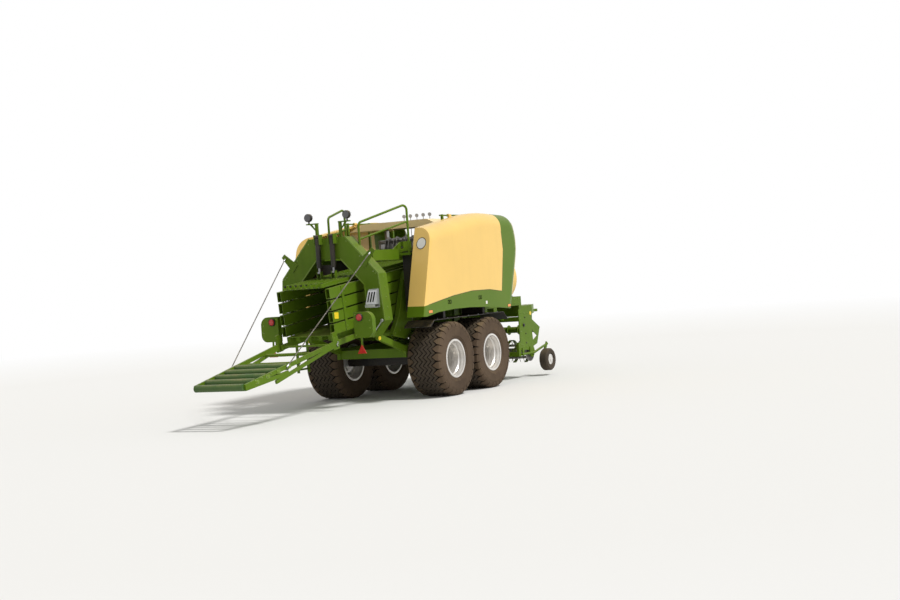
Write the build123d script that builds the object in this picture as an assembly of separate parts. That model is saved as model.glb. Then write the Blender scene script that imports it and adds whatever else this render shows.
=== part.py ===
"""Large square baler, towed, with a tandem axle and a folding bale chute.

Millimetres. While a piece is modelled, x = 0 is midway between the two axles, +X is the direction of
travel, +Y is left and z = 0 is the ground. place() moves every piece so that x = 0 is the middle of the
machine's length.
"""
from build123d import *
import math
import os

# Wheels
AXLE_SPACING = 1223.0
TYRE_RADIUS = 580.0
TYRE_WIDTH = 600.0
TYRE_Y = 955.0
TYRE_SIDES = 22
CARCASS_RADIUS = 552.0
WALL_RADIUS = 440.0
LUG_WIDTH = 96.0
LUG_SLANT = 10.0
RIM_RADIUS = 286.0
RIM_WIDTH = 534.0
RIM_FLANGE = 302.0
SPINDLE_RADIUS = 45.0
RUNNING_GAP = 0.05
SIDE_GAP = 0.3

# Bale chamber, in its own frame: u along it from the rear, w up from its floor
CHAMBER_WIDTH = 800.0
CHAMBER_HEIGHT = 700.0
CHAMBER_LENGTH = 4000.0
CHAMBER_REAR_X = -2800.0
CHAMBER_REAR_Z = 1130.0
CHAMBER_TILT = 6.5
WALL = 12.0
RIB_DEPTH = 60.0
BEAM_HEIGHT = 150.0
BEAM_PITCH = 175.0
BEAM_COUNT = 4
FLAP_LENGTH = 1500.0
FLAP_PIN_U = FLAP_LENGTH + 30
TOP_FLAP_LENGTH = 1440.0
TOP_PIN_U = TOP_FLAP_LENGTH + 28
PIN_RADIUS = 16.0
TOP_RIB_COUNT = 8
PLUNGER_U = 3300.0

# Frame
RAIL_INNER = 585.0
RAIL_OUTER = 645.0
RAIL_BOTTOM = 660.0
RAIL_TOP = 840.0
RAIL_REAR_X = -1150.0
RAIL_FRONT_X = 1600.0
FRONT_BEAM_X = 2900.0
FRONT_BEAM_BOTTOM = 1260.0
FRONT_BEAM_TOP = 1420.0
DECK_Z = 2240.0
DECK_THICK = 40.0

# Density gate
GATE_REAR_X = -2150.0
GATE_DEPTH = 250.0
GATE_TOP = 2575.0
PLATE = 15.0

# Drawbar
DRAWBAR_BOTTOM = 1060.0
DRAWBAR_TOP = 1225.0
DRAWBAR_HALF = 300.0
EYE_X = 4700.0
EYE_BORE = 25.0
EYE_RADIUS = 62.0
EYE_THICK = 50.0

# Needle yoke
YOKE_X = -700.0
YOKE_Z = 1890.0
NEEDLE_RADIUS = 950.0
NEEDLE_DEPTH = 44.0
NEEDLE_THICK = 18.0
NEEDLE_YS = (-320.0, -160.0, 0.0, 160.0, 320.0)

# Chute
CHUTE_PIN_X = -2840.0
CHUTE_PIN_Z = 990.0
CHUTE_LENGTH = 2150.0
CHUTE_SLOPE = 11.5
CHUTE_HALF = 450.0
ROLLER_RADIUS = 50.0
ROLLER_RISE = 20.0
CHUTE_TAPER = 2.2

# Side hood sizes
HOOD_OUTER = 1260.0
HOOD_INNER = 930.0
HOOD_SKIN = 25.0
HOOD_ROUND = 230.0
HINGE_Y = 905.0
HINGE_Z = 2845.0

SLOPE = math.radians(CHUTE_SLOPE)
REAR_END_X = CHUTE_PIN_X - CHUTE_LENGTH * math.cos(SLOPE) - ROLLER_RISE * math.sin(SLOPE) - ROLLER_RADIUS
FRONT_END_X = EYE_X + EYE_RADIUS
MIDDLE_X = (REAR_END_X + FRONT_END_X) / 2


def slab(x, y, z):
    """Box from three (low, high) pairs."""
    size = [high - low for low, high in (x, y, z)]
    middle = [(high + low) / 2 for low, high in (x, y, z)]
    return Pos(*middle) * Box(*size)


def both_sides(shape):
    return shape + mirror(shape, about=Plane.XZ)


def side_plate(points, y):
    """Plate with an outline of (x, z) points, between two y values."""
    outline = Polyline(*[(px, y[0], pz) for px, pz in points], close=True)
    return extrude(make_face(outline), amount=y[1] - y[0], dir=(0, 1, 0))


def cross_plate(points, x):
    """Plate with an outline of (y, z) points, between two x values."""
    outline = Polyline(*[(x[0], py, pz) for py, pz in points], close=True)
    return extrude(make_face(outline), amount=x[1] - x[0], dir=(1, 0, 0))


def flat_plate(points, z):
    """Plate with an outline of (x, y) points, between two z values."""
    outline = Polyline(*[(px, py, z[0]) for px, py in points], close=True)
    return extrude(make_face(outline), amount=z[1] - z[0], dir=(0, 0, 1))


def rod(start, end, radius):
    start, end = Vector(*start), Vector(*end)
    axis = end - start
    round_bar = Cylinder(radius, axis.length, align=(Align.CENTER, Align.CENTER, Align.MIN))
    return Plane(origin=start, z_dir=axis) * round_bar


def cross_rod(x, z, y, radius):
    return rod((x, y[0], z), (x, y[1], z), radius)


def bar(start, end, height, y):
    """Flat bar between two (x, z) points, seen from the side."""
    dx, dz = end[0] - start[0], end[1] - start[1]
    run = math.hypot(dx, dz)
    nx, nz = -dz / run * height / 2, dx / run * height / 2
    corners = [
        (start[0] + nx, start[1] + nz),
        (end[0] + nx, end[1] + nz),
        (end[0] - nx, end[1] - nz),
        (start[0] - nx, start[1] - nz),
    ]
    return side_plate(corners, y)


def pipe(points, radius, bend):
    path = FilletPolyline(*points, radius=bend)
    return sweep(Plane(origin=path @ 0, z_dir=path % 0) * Circle(radius), path=path)


def in_chamber(shape):
    """From the chamber's own frame to the machine's."""
    return Pos(CHAMBER_REAR_X, 0, CHAMBER_REAR_Z) * Rot(0, -CHAMBER_TILT, 0) * shape


def chamber_point(u, w):
    tilt = math.radians(CHAMBER_TILT)
    x = CHAMBER_REAR_X + u * math.cos(tilt) - w * math.sin(tilt)
    z = CHAMBER_REAR_Z + u * math.sin(tilt) + w * math.cos(tilt)
    return x, z


def place(shape):
    return Pos(-MIDDLE_X, 0, 0) * shape


def save(name, shape):
    export_step(place(shape), f"parts/{name}.step")


def faceted_ring(section, sides):
    """Closed ring about +Y with flat facets, from a loop of (radius to the flats, y) points."""
    half_step = math.pi / sides

    def corner(point, step):
        angle = (2 * step + 1) * half_step
        reach = point[0] / math.cos(half_step)
        return (reach * math.cos(angle), point[1], reach * math.sin(angle))

    facets = []
    for step in range(sides):
        for start, end in zip(section, section[1:] + section[:1]):
            loop = [corner(start, step), corner(end, step), corner(end, step + 1), corner(start, step + 1)]
            facets.append(Face(Wire.make_polygon(loop)))
    return Part(Solid(Shell(facets)).wrapped)


def tread_lug(side):
    """Lug that runs from the middle of the tread over the shoulder, slanted towards the middle."""
    width = TYRE_WIDTH / 2
    section = [
        (CARCASS_RADIUS - 20, 12), (TYRE_RADIUS, 12), (TYRE_RADIUS, width - 42), (CARCASS_RADIUS - 60, width - 6),
        (CARCASS_RADIUS - 60, width - 60),
    ]
    outline = Polyline(*[(radius, side * y, -LUG_WIDTH / 2) for radius, y in section], close=True)
    lug = extrude(make_face(outline), amount=LUG_WIDTH, dir=(0, 0, 1))
    pivot = Pos(0, side * width / 2, 0)
    return pivot * Rot(side * LUG_SLANT, 0, 0) * pivot.inverse() * lug


def wheel_tyre():
    """Tyre about +Y, its outer side towards +Y: a carcass of flat facets with two rows of lugs."""
    half = TYRE_WIDTH / 2
    bead = RIM_WIDTH / 2 - 12
    section = [
        (RIM_RADIUS, -bead), (RIM_RADIUS, bead), (RIM_FLANGE, bead), (WALL_RADIUS, half),
        (CARCASS_RADIUS, half - 32), (CARCASS_RADIUS, 32 - half), (WALL_RADIUS, -half), (RIM_FLANGE, -bead),
    ]
    lugs = []
    for step in range(TYRE_SIDES):
        turn = Rot(0, step * 360 / TYRE_SIDES, 0)
        lugs += [turn * tread_lug(1), turn * tread_lug(-1)]
    return Rot(0, 90, 0) * faceted_ring(section, TYRE_SIDES).fuse(*lugs)


def wheel_rim():
    """Deep-dished rim about +Y with a bored hub, its outer side towards +Y."""
    edge = RIM_WIDTH / 2
    bead = edge - 12
    well = RIM_RADIUS - 14
    bore = SPINDLE_RADIUS + RUNNING_GAP
    outline = [
        (well, -edge), (RIM_FLANGE, -edge), (RIM_FLANGE, -bead), (RIM_RADIUS, -bead),
        (RIM_RADIUS, bead), (RIM_FLANGE, bead), (RIM_FLANGE, edge), (well, edge),
        (well, -70), (190, -100), (150, -130), (110, -130), (110, -40), (90, -20), (0, -20),
        (0, -60), (bore, -60), (bore, -180), (130, -180), (130, -150), (160, -150), (205, -116), (well, -88),
    ]
    return revolve(make_face(Polyline(*outline, close=True)), Axis.Y)


def gauge_wheel(x, y, z, radius, width, bore):
    """Small pneumatic wheel with a hub."""
    half = width / 2
    outline = [
        (bore, -half + 20), (bore, half - 20), (radius * 0.5, half - 20), (radius * 0.58, half),
        (radius * 0.9, half), (radius, half - 22), (radius, 22 - half), (radius * 0.9, -half),
        (radius * 0.58, -half), (radius * 0.5, 20 - half),
    ]
    return Pos(x, y, z) * revolve(make_face(Polyline(*outline, close=True)), Axis.Y)


def c_beam(u, w, outer, height, depth):
    """Hollow pressed beam along the chamber's side, on the -Y side."""
    web = slab(u, (-outer - 8, -outer), (w, w + height))
    for at in (w, w + height - 10):
        web += slab(u, (-outer - depth, -outer - 8), (at, at + 10))
    return web + slab(u, (-outer - depth, -outer - depth + 6), (w + 10, w + height - 10))


# Tandem wheels

WHEELS = {
    "front_left": (AXLE_SPACING / 2, 1),
    "front_right": (AXLE_SPACING / 2, -1),
    "rear_left": (-AXLE_SPACING / 2, 1),
    "rear_right": (-AXLE_SPACING / 2, -1),
}

os.makedirs("parts", exist_ok=True)
tyre = wheel_tyre()
for corner, (wheel_x, side) in WHEELS.items():
    turn = Rot(0, 0, 0) if side > 0 else Rot(0, 0, 180)
    seat = Pos(wheel_x, side * TYRE_Y, TYRE_RADIUS) * turn
    save(f"tyre_{corner}", seat * tyre)
    save(f"rim_{corner}", seat * wheel_rim())

# Tandem axles with spring pads and spindles

axles = Part()
SPRING_Y = (592.0, 638.0)
AXLE_HALF = 65.0
for wheel_x in (AXLE_SPACING / 2, -AXLE_SPACING / 2):
    shoulder_y = TYRE_Y - 180 - SIDE_GAP
    beam = slab(
        (wheel_x - AXLE_HALF, wheel_x + AXLE_HALF),
        (25 - shoulder_y, shoulder_y - 25),
        (TYRE_RADIUS - AXLE_HALF, TYRE_RADIUS + AXLE_HALF),
    )
    shoulder = cross_rod(wheel_x, TYRE_RADIUS, (-shoulder_y, shoulder_y), 62)
    spindle = cross_rod(wheel_x, TYRE_RADIUS, (62 - TYRE_Y, TYRE_Y - 62), SPINDLE_RADIUS)
    pad = both_sides(slab((wheel_x - 70, wheel_x + 70), SPRING_Y, (TYRE_RADIUS + AXLE_HALF, RAIL_BOTTOM)))
    axles += beam + shoulder + spindle + pad
save("axle_beams", axles)

# Main frame: low rails, rear beams up to the gate, uprights and front beams

rails = slab((RAIL_REAR_X, RAIL_FRONT_X), (RAIL_INNER, RAIL_OUTER), (RAIL_BOTTOM, RAIL_TOP))
rear_beam = bar((GATE_REAR_X + 60, 1100), (RAIL_REAR_X + 30, 780), 90, (RAIL_INNER, RAIL_OUTER))
uprights = slab((1520, 1600), (RAIL_INNER, RAIL_OUTER), (RAIL_TOP, DECK_Z))
uprights += slab((250, 330), (RAIL_INNER, RAIL_OUTER), (RAIL_TOP, DECK_Z))
front_beam = slab((1600, FRONT_BEAM_X), (RAIL_INNER, RAIL_OUTER), (FRONT_BEAM_BOTTOM, FRONT_BEAM_TOP))
main_frame = both_sides(rails + rear_beam + uprights + front_beam)
for cross_x in (-1080, 250):
    main_frame += slab((cross_x - 50, cross_x + 50), (-RAIL_INNER, RAIL_INNER), (RAIL_BOTTOM, RAIL_TOP - 40))
main_frame += slab((250, 330), (-RAIL_INNER, RAIL_INNER), (1180, 1420))
main_frame += slab((1500, 1600), (-RAIL_INNER, RAIL_INNER), (FRONT_BEAM_BOTTOM, FRONT_BEAM_TOP))
main_frame += slab((2800, FRONT_BEAM_X), (-RAIL_OUTER, RAIL_OUTER), (DRAWBAR_BOTTOM, FRONT_BEAM_TOP))
chamber_half = CHAMBER_WIDTH / 2 + RIB_DEPTH + WALL
chamber_hull = in_chamber(
    slab((-40, CHAMBER_LENGTH), (-chamber_half, chamber_half), (-80, CHAMBER_HEIGHT + 72))
)
PICKUP_PIN_X = 1900.0
PICKUP_PIN_Z = 1120.0
pickup_bracket = slab((PICKUP_PIN_X - 60, PICKUP_PIN_X + 60), (RAIL_OUTER - 30, RAIL_OUTER), (1070, FRONT_BEAM_BOTTOM))
pickup_bracket += cross_rod(PICKUP_PIN_X, PICKUP_PIN_Z, (RAIL_OUTER - 30, RAIL_OUTER + 105), PIN_RADIUS)
main_frame += both_sides(pickup_bracket)
main_frame -= chamber_hull
main_frame -= slab((GATE_REAR_X - 400, GATE_REAR_X + GATE_DEPTH), (-1000, 1000), (500, 2700))
save("main_frame", main_frame)

# Density gate: a pressed ring of plate and flanges round the rear of the chamber

outer_half = [(320, GATE_TOP), (860, 1985), (920, 1280), (700, 1040)]
inner_half = [(230, 2250), (625, 1840), (670, 1330), (590, 1160)]
outer_ring = outer_half + [(-y, z) for y, z in reversed(outer_half)]
inner_ring = inner_half + [(-y, z) for y, z in reversed(inner_half)]
gate_x = (GATE_REAR_X, GATE_REAR_X + GATE_DEPTH)
ring_outer = cross_plate(outer_ring, gate_x)
ring_inner = cross_plate(inner_ring, gate_x)
pocket = offset(make_face(Polyline(*[(GATE_REAR_X + PLATE, y, z) for y, z in outer_ring], close=True)), -PLATE)
pocket -= offset(make_face(Polyline(*[(GATE_REAR_X + PLATE, y, z) for y, z in inner_ring], close=True)), PLATE)
gate = ring_outer - ring_inner - extrude(pocket, amount=GATE_DEPTH, dir=(1, 0, 0))
CYLINDER_X = GATE_REAR_X - 60
CYLINDER_TOP_Z = 2600.0
CYLINDER_YS = (-130.0, 130.0)
brackets = Part()
for pin_y in CYLINDER_YS:
    for ear in (-52, 40):
        brackets += slab((CYLINDER_X - 30, GATE_REAR_X), (pin_y + ear, pin_y + ear + 12), (2480, CYLINDER_TOP_Z + 30))
    brackets += cross_rod(CYLINDER_X, CYLINDER_TOP_Z, (pin_y - 52, pin_y + 52), PIN_RADIUS)
    brackets += slab((GATE_REAR_X - 10, GATE_REAR_X), (pin_y - 70, pin_y + 70), (2480, GATE_TOP))
LAMP_Y = 350.0
LAMP_ARM_Z = 2815.0
lamp_post = slab((-2100, -2060), (195, 235), (GATE_TOP, LAMP_ARM_Z - 18))
lamp_post += slab((-2110, -2050), (195, LAMP_Y + 40), (LAMP_ARM_Z - 18, LAMP_ARM_Z))
lamp_post += cross_plate([(215, 2690), (235, 2690), (340, 2800), (300, 2800)], (-2085, -2075))
save("cylinder_brackets", brackets + both_sides(lamp_post))
stay_fin = cross_plate([(560, 2200), (660, 2090), (850, 2330), (800, 2380)], (GATE_REAR_X - PLATE, GATE_REAR_X))
gate += both_sides(stay_fin)
gate -= chamber_hull
save("gate_frame", gate)

# Bale chamber: floor, ribbed roof and the plunger's face, between slotted side walls

half = CHAMBER_WIDTH / 2
chamber = slab((0, CHAMBER_LENGTH), (-half, half), (-WALL, 0))
for rib_y in (-half + 30, -200, 0, 200, half - 30):
    chamber += slab((0, 2700), (rib_y - 30, rib_y + 30), (-80, -WALL))
chamber += slab((TOP_PIN_U + 40, CHAMBER_LENGTH), (-half, half), (CHAMBER_HEIGHT, CHAMBER_HEIGHT + WALL))
for step in range(TOP_RIB_COUNT):
    rib_y = -half + 45 + step * (CHAMBER_WIDTH - 90) / (TOP_RIB_COUNT - 1)
    chamber += slab(
        (TOP_PIN_U + 40, 2900), (rib_y - 10, rib_y + 10), (CHAMBER_HEIGHT + WALL, CHAMBER_HEIGHT + RIB_DEPTH)
    )
for lug_y in (-half, -20, half - 40):
    chamber += slab((TOP_PIN_U - 25, TOP_PIN_U + 60), (lug_y, lug_y + 40), (CHAMBER_HEIGHT, CHAMBER_HEIGHT + 50))
TOP_PIN_W = CHAMBER_HEIGHT + 25
chamber += rod((TOP_PIN_U, -half - 8, TOP_PIN_W), (TOP_PIN_U, half + 8, TOP_PIN_W), PIN_RADIUS)
chamber += slab((PLUNGER_U, PLUNGER_U + 40), (-half, half), (0, CHAMBER_HEIGHT))
for needle_y in NEEDLE_YS:
    chamber -= slab((2840, 3060), (needle_y - 20, needle_y + 20), (-90, 10))
    chamber -= slab((2990, 3210), (needle_y - 20, needle_y + 20), (CHAMBER_HEIGHT - 10, CHAMBER_HEIGHT + 90))
    chamber -= slab((PLUNGER_U - 5, PLUNGER_U + 45), (needle_y - 20, needle_y + 20), (-5, CHAMBER_HEIGHT + 5))
save("bale_chamber", in_chamber(chamber))

FLAP_PIN_Y = half + 40
fixed_u = (FLAP_PIN_U + 40, CHAMBER_LENGTH)
walls = both_sides(slab(fixed_u, (half, half + 8), (-WALL, CHAMBER_HEIGHT + WALL)))
for step in range(BEAM_COUNT):
    walls += both_sides(c_beam(fixed_u, 8 + step * BEAM_PITCH, half, BEAM_HEIGHT, RIB_DEPTH + WALL))
for lug_w in ((-WALL, -2), (CHAMBER_HEIGHT + 2, CHAMBER_HEIGHT + 14)):
    walls += both_sides(slab((FLAP_PIN_U - 35, FLAP_PIN_U + 60), (half + 1, half + 72), lug_w))
pin_foot = Pos(FLAP_PIN_U, FLAP_PIN_Y, -2)
walls += both_sides(
    pin_foot * Cylinder(PIN_RADIUS, CHAMBER_HEIGHT + 4, align=(Align.CENTER, Align.CENTER, Align.MIN))
)
YOKE_PIN = 35.0
YOKE_ARM_Y = (492.0, 572.0)
yoke_boss = cross_rod(YOKE_X, YOKE_Z, (half + 7, YOKE_ARM_Y[0] - SIDE_GAP), 90)
yoke_boss += cross_rod(YOKE_X, YOKE_Z, (half + 7, YOKE_ARM_Y[1] + 8), YOKE_PIN)
save("chamber_walls", in_chamber(walls) + both_sides(yoke_boss))

# Density flaps

flap = Part()
for step in range(BEAM_COUNT):
    flap += c_beam((0, FLAP_LENGTH - 10), 8 + step * BEAM_PITCH, half, BEAM_HEIGHT, RIB_DEPTH + WALL)
flap_height = BEAM_PITCH * (BEAM_COUNT - 1) + BEAM_HEIGHT
for strap_u in (0.2 * FLAP_LENGTH, 0.73 * FLAP_LENGTH, FLAP_LENGTH - 80):
    flap += slab(
        (strap_u, strap_u + 60), (-half - RIB_DEPTH - WALL - 10, -half - RIB_DEPTH - WALL), (8, 8 + flap_height)
    )
for step in range(BEAM_COUNT):
    low = 8 + step * BEAM_PITCH
    eye = Pos(FLAP_PIN_U, -FLAP_PIN_Y, low) * Cylinder(30, BEAM_HEIGHT, align=(Align.CENTER, Align.CENTER, Align.MIN))
    eye += slab((FLAP_LENGTH - 12, FLAP_PIN_U), (-FLAP_PIN_Y - 30, -FLAP_PIN_Y + 30), (low, low + BEAM_HEIGHT))
    eye -= Pos(FLAP_PIN_U, -FLAP_PIN_Y, low + BEAM_HEIGHT / 2) * Cylinder(PIN_RADIUS + RUNNING_GAP, 2 * BEAM_HEIGHT)
    flap += eye
save("side_flap_right", in_chamber(flap))
save("side_flap_left", in_chamber(mirror(flap, about=Plane.XZ)))

top_flap = flat_plate(
    [(0, -352), (TOP_FLAP_LENGTH, 5 - half), (TOP_FLAP_LENGTH, half - 5), (0, 352)],
    (CHAMBER_HEIGHT, CHAMBER_HEIGHT + WALL),
)
for step in range(TOP_RIB_COUNT):
    share = step / (TOP_RIB_COUNT - 1) * 2 - 1
    rib_y = share * 340
    top_flap += slab(
        (0, TOP_FLAP_LENGTH - 20), (rib_y - 9, rib_y + 9), (CHAMBER_HEIGHT + WALL, CHAMBER_HEIGHT + RIB_DEPTH)
    )
for lug_y in (-half + 45, -250, 60, 215):
    eye = rod((TOP_PIN_U, lug_y, TOP_PIN_W), (TOP_PIN_U, lug_y + 90, TOP_PIN_W), 24)
    eye += slab((TOP_FLAP_LENGTH - 60, TOP_PIN_U), (lug_y, lug_y + 90), (CHAMBER_HEIGHT + WALL, TOP_PIN_W + 20))
    eye -= rod((TOP_PIN_U, lug_y - 5, TOP_PIN_W), (TOP_PIN_U, lug_y + 95, TOP_PIN_W), PIN_RADIUS + RUNNING_GAP)
    top_flap += eye
ROD_EYE_Z = 2050.0
top_flap = in_chamber(top_flap)
for pin_y in CYLINDER_YS:
    for ear in (-37, 27):
        top_flap += slab((CYLINDER_X - 30, CYLINDER_X + 30), (pin_y + ear, pin_y + ear + 10), (1900, ROD_EYE_Z + 25))
    top_flap += cross_rod(CYLINDER_X, ROD_EYE_Z, (pin_y - 37, pin_y + 37), PIN_RADIUS)
save("top_flap", top_flap)

# Density cylinders above the top flap

BARREL_RADIUS = 38.0
BARREL_LOW = 2125.0
BARREL_BORE = 31.0
ROD_RADIUS = 20.0
ROD_EYE_GAP = 0.8
barrels = Part()
rods = Part()
for pin_y in CYLINDER_YS:
    barrel = rod((CYLINDER_X, pin_y, BARREL_LOW), (CYLINDER_X, pin_y, 2575), BARREL_RADIUS)
    barrel += cross_rod(CYLINDER_X, CYLINDER_TOP_Z, (pin_y - 35, pin_y + 35), 30)
    barrel -= rod((CYLINDER_X, pin_y, BARREL_LOW + 30), (CYLINDER_X, pin_y, 2550), BARREL_BORE)
    barrel -= rod((CYLINDER_X, pin_y, BARREL_LOW - 10), (CYLINDER_X, pin_y, BARREL_LOW + 35), ROD_RADIUS + RUNNING_GAP)
    barrel -= cross_rod(CYLINDER_X, CYLINDER_TOP_Z, (pin_y - 60, pin_y + 60), PIN_RADIUS + RUNNING_GAP)
    barrels += barrel
    stem = rod((CYLINDER_X, pin_y, ROD_EYE_Z + 20), (CYLINDER_X, pin_y, 2440), ROD_RADIUS)
    stem += cross_rod(CYLINDER_X, ROD_EYE_Z, (pin_y - 22, pin_y + 22), 28)
    stem -= cross_rod(CYLINDER_X, ROD_EYE_Z, (pin_y - 60, pin_y + 60), PIN_RADIUS + ROD_EYE_GAP)
    rods += stem
save("density_barrels", barrels)
save("density_rods", rods)

# Needle yoke: two arms, a cross tube and curved needles on arcs about the yoke's pin

arm_outline = [(-850, 2010), (-560, 2010), (-520, 1800), (-870, 1040), (-1000, 960), (-1370, 1030), (-1160, 1290),
               (-940, 1850)]
arm = side_plate(arm_outline, YOKE_ARM_Y)
arm -= cross_rod(YOKE_X, YOKE_Z, (0, 700), YOKE_PIN + RUNNING_GAP)
yoke = both_sides(arm)
NEEDLE_START = -118.0
NEEDLE_TIP = -38.0
bar_x = YOKE_X + NEEDLE_RADIUS * math.cos(math.radians(NEEDLE_START))
bar_z = YOKE_Z + NEEDLE_RADIUS * math.sin(math.radians(NEEDLE_START))
yoke += cross_rod(bar_x, bar_z, (-YOKE_ARM_Y[0], YOKE_ARM_Y[0]), 50)


def needle(y):
    """Curved needle that runs from the cross tube towards the chamber floor."""
    shoulder = NEEDLE_TIP - 4
    middle = (NEEDLE_START + NEEDLE_TIP) / 2

    def at(radius, angle):
        turn = math.radians(angle)
        return (YOKE_X + radius * math.cos(turn), y, YOKE_Z + radius * math.sin(turn))

    outer, inner = NEEDLE_RADIUS + NEEDLE_DEPTH / 2, NEEDLE_RADIUS - NEEDLE_DEPTH / 2
    tip = at(NEEDLE_RADIUS, NEEDLE_TIP)
    outline = [
        ThreePointArc(at(outer, NEEDLE_START), at(outer, middle), at(outer, shoulder)),
        Line(at(outer, shoulder), tip),
        Line(tip, at(inner, shoulder)),
        ThreePointArc(at(inner, shoulder), at(inner, middle), at(inner, NEEDLE_START)),
        Line(at(inner, NEEDLE_START), at(outer, NEEDLE_START)),
    ]
    return extrude(make_face(outline), amount=NEEDLE_THICK, dir=(0, 1, 0))


for needle_y in NEEDLE_YS:
    yoke += needle(needle_y - NEEDLE_THICK / 2)
save("needle_yoke", yoke)

# Chute: fixed hinge arms on the frame, a folding frame and its rollers


def chute_point(run, rise):
    x = CHUTE_PIN_X - run * math.cos(SLOPE) - rise * math.sin(SLOPE)
    z = CHUTE_PIN_Z - run * math.sin(SLOPE) + rise * math.cos(SLOPE)
    return x, z


def chute_half(run):
    """Half of the width between the side frames, which lean inwards to the rear."""
    return RUNNER_Y[0] + 4 - run * math.cos(SLOPE) * math.sin(math.radians(CHUTE_TAPER))


RUNNER_THICK = 30.0
RUNNER_Y = (CHUTE_HALF + 40, CHUTE_HALF + 40 + RUNNER_THICK)
hinge_arm = bar((-2200, 1085), (CHUTE_PIN_X, CHUTE_PIN_Z), 80, (-CHUTE_HALF - 12, -CHUTE_HALF + 12))
hinge_arm += cross_rod(CHUTE_PIN_X, CHUTE_PIN_Z, (-CHUTE_HALF - 12, -CHUTE_HALF + 12), 45)
chute_arms = both_sides(hinge_arm)
chute_arms += cross_rod(CHUTE_PIN_X, CHUTE_PIN_Z, (-CHUTE_HALF - 90, CHUTE_HALF + 90), PIN_RADIUS)
chute_arms += slab((-2260, GATE_REAR_X), (-600, 600), (1045, 1125))
save("chute_arms", chute_arms - chamber_hull)

upper = bar(chute_point(60, 30), chute_point(CHUTE_LENGTH, 30), 60, RUNNER_Y)
lower = bar(chute_point(0, 0), chute_point(1500, -110), 50, RUNNER_Y)
tail = bar(chute_point(1200, -60), chute_point(CHUTE_LENGTH, 0), 60, RUNNER_Y)
bracket = side_plate(
    [chute_point(-50, -70), chute_point(-70, 40), chute_point(-20, 190), chute_point(70, 190), chute_point(90, -60)],
    RUNNER_Y,
)
frame_side = upper + lower + tail + bracket
hinge_place = Pos(CHUTE_PIN_X, RUNNER_Y[0], 0)
frame_side = hinge_place * Rot(0, 0, CHUTE_TAPER) * hinge_place.inverse() * frame_side
frame_side -= cross_rod(CHUTE_PIN_X, CHUTE_PIN_Z, (0, 900), PIN_RADIUS + RUNNING_GAP)
chute = both_sides(frame_side)
for run in (420, 900, 1500):
    tie_x, tie_z = chute_point(run, -10)
    chute += cross_rod(tie_x, tie_z, (-chute_half(run), chute_half(run)), 24)
save("chute_frame", chute)

rollers = Part()
for run in (1180, 1420, 1660, 1900, CHUTE_LENGTH):
    roller_x, roller_z = chute_point(run, ROLLER_RISE)
    rollers += cross_rod(roller_x, roller_z, (-chute_half(run), chute_half(run)), ROLLER_RADIUS)
save("chute_rollers", rollers - chute)

# Stay cables from the gate's fins to the chute

STAY_RADIUS = 9.0
foot_x, foot_z = chute_point(1250, 30)
stay_foot = (foot_x, -chute_half(1250) - RUNNER_THICK + 4 - STAY_RADIUS - 0.2, foot_z)
stay = rod((GATE_REAR_X - PLATE - 0.66 * STAY_RADIUS, -780, 2310), stay_foot, STAY_RADIUS)
save("stay_cables", both_sides(stay))

# Knotter deck between the gate and the uprights

DECK_FRONT_X = 1600.0
deck = both_sides(slab((GATE_REAR_X + GATE_DEPTH, DECK_FRONT_X), (430, RAIL_OUTER), (DECK_Z, DECK_Z + DECK_THICK)))
deck += both_sides(slab((GATE_REAR_X + GATE_DEPTH, -1000), (RAIL_OUTER - 12, RAIL_OUTER), (2180, 2345)))
gusset_y = (RAIL_OUTER - 60, RAIL_OUTER - 48)
deck += both_sides(side_plate([(-1380, 2275), (-1000, 2275), (-1000, 2450), (-1030, 2450)], gusset_y))
deck += both_sides(slab((-1000, -760), (RAIL_INNER, RAIL_OUTER), (DECK_Z + DECK_THICK, 2460)))
deck -= both_sides(slab((-985, -750), (RAIL_INNER - 5, RAIL_OUTER - 12), (DECK_Z + DECK_THICK + 12, 2448)))
deck -= rod((-1010, 615, 2370), (-900, 615, 2370), 18) + rod((-1010, -615, 2370), (-900, -615, 2370), 18)
save("knotter_deck", deck - chamber_hull)

# Drawbar with the towing eye

drawbar_outline = [
    (FRONT_BEAM_X, -DRAWBAR_HALF), (4000, -DRAWBAR_HALF), (4500, -90), (4500, 90), (4000, DRAWBAR_HALF),
    (FRONT_BEAM_X, DRAWBAR_HALF),
]
drawbar = flat_plate(drawbar_outline, (DRAWBAR_BOTTOM, DRAWBAR_TOP))
EYE_Z = 1100.0
eye_plate = slab((4500, EYE_X), (-45, 45), (EYE_Z - EYE_THICK / 2, EYE_Z + EYE_THICK / 2))
eye_ring = Pos(EYE_X, 0, EYE_Z) * Cylinder(EYE_RADIUS, EYE_THICK)
eye_hole = Pos(EYE_X, 0, EYE_Z) * Cylinder(EYE_BORE, 2 * EYE_THICK)
drawbar += eye_plate + eye_ring
drawbar -= eye_hole
JACK_X = 3780.0
JACK_Y = 365.0
JACK_TUBE = 55.0
JACK_LEG = 42.0
jack_sleeve = rod((JACK_X, JACK_Y, 780), (JACK_X, JACK_Y, 1330), JACK_TUBE)
jack_sleeve += slab((JACK_X - 90, JACK_X + 90), (DRAWBAR_HALF - 5, JACK_Y), (DRAWBAR_BOTTOM + 10, DRAWBAR_TOP - 10))
jack_sleeve -= rod((JACK_X, JACK_Y, 770), (JACK_X, JACK_Y, 1310), JACK_LEG + RUNNING_GAP)
drawbar += jack_sleeve
save("drawbar", drawbar)

jack_leg = rod((JACK_X, JACK_Y, 10), (JACK_X, JACK_Y, 880), JACK_LEG)
jack_leg += rod((JACK_X, JACK_Y, 0), (JACK_X, JACK_Y, 20), 130)
save("jack_leg", jack_leg)

# Gearbox, crank housing and flywheel

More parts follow.
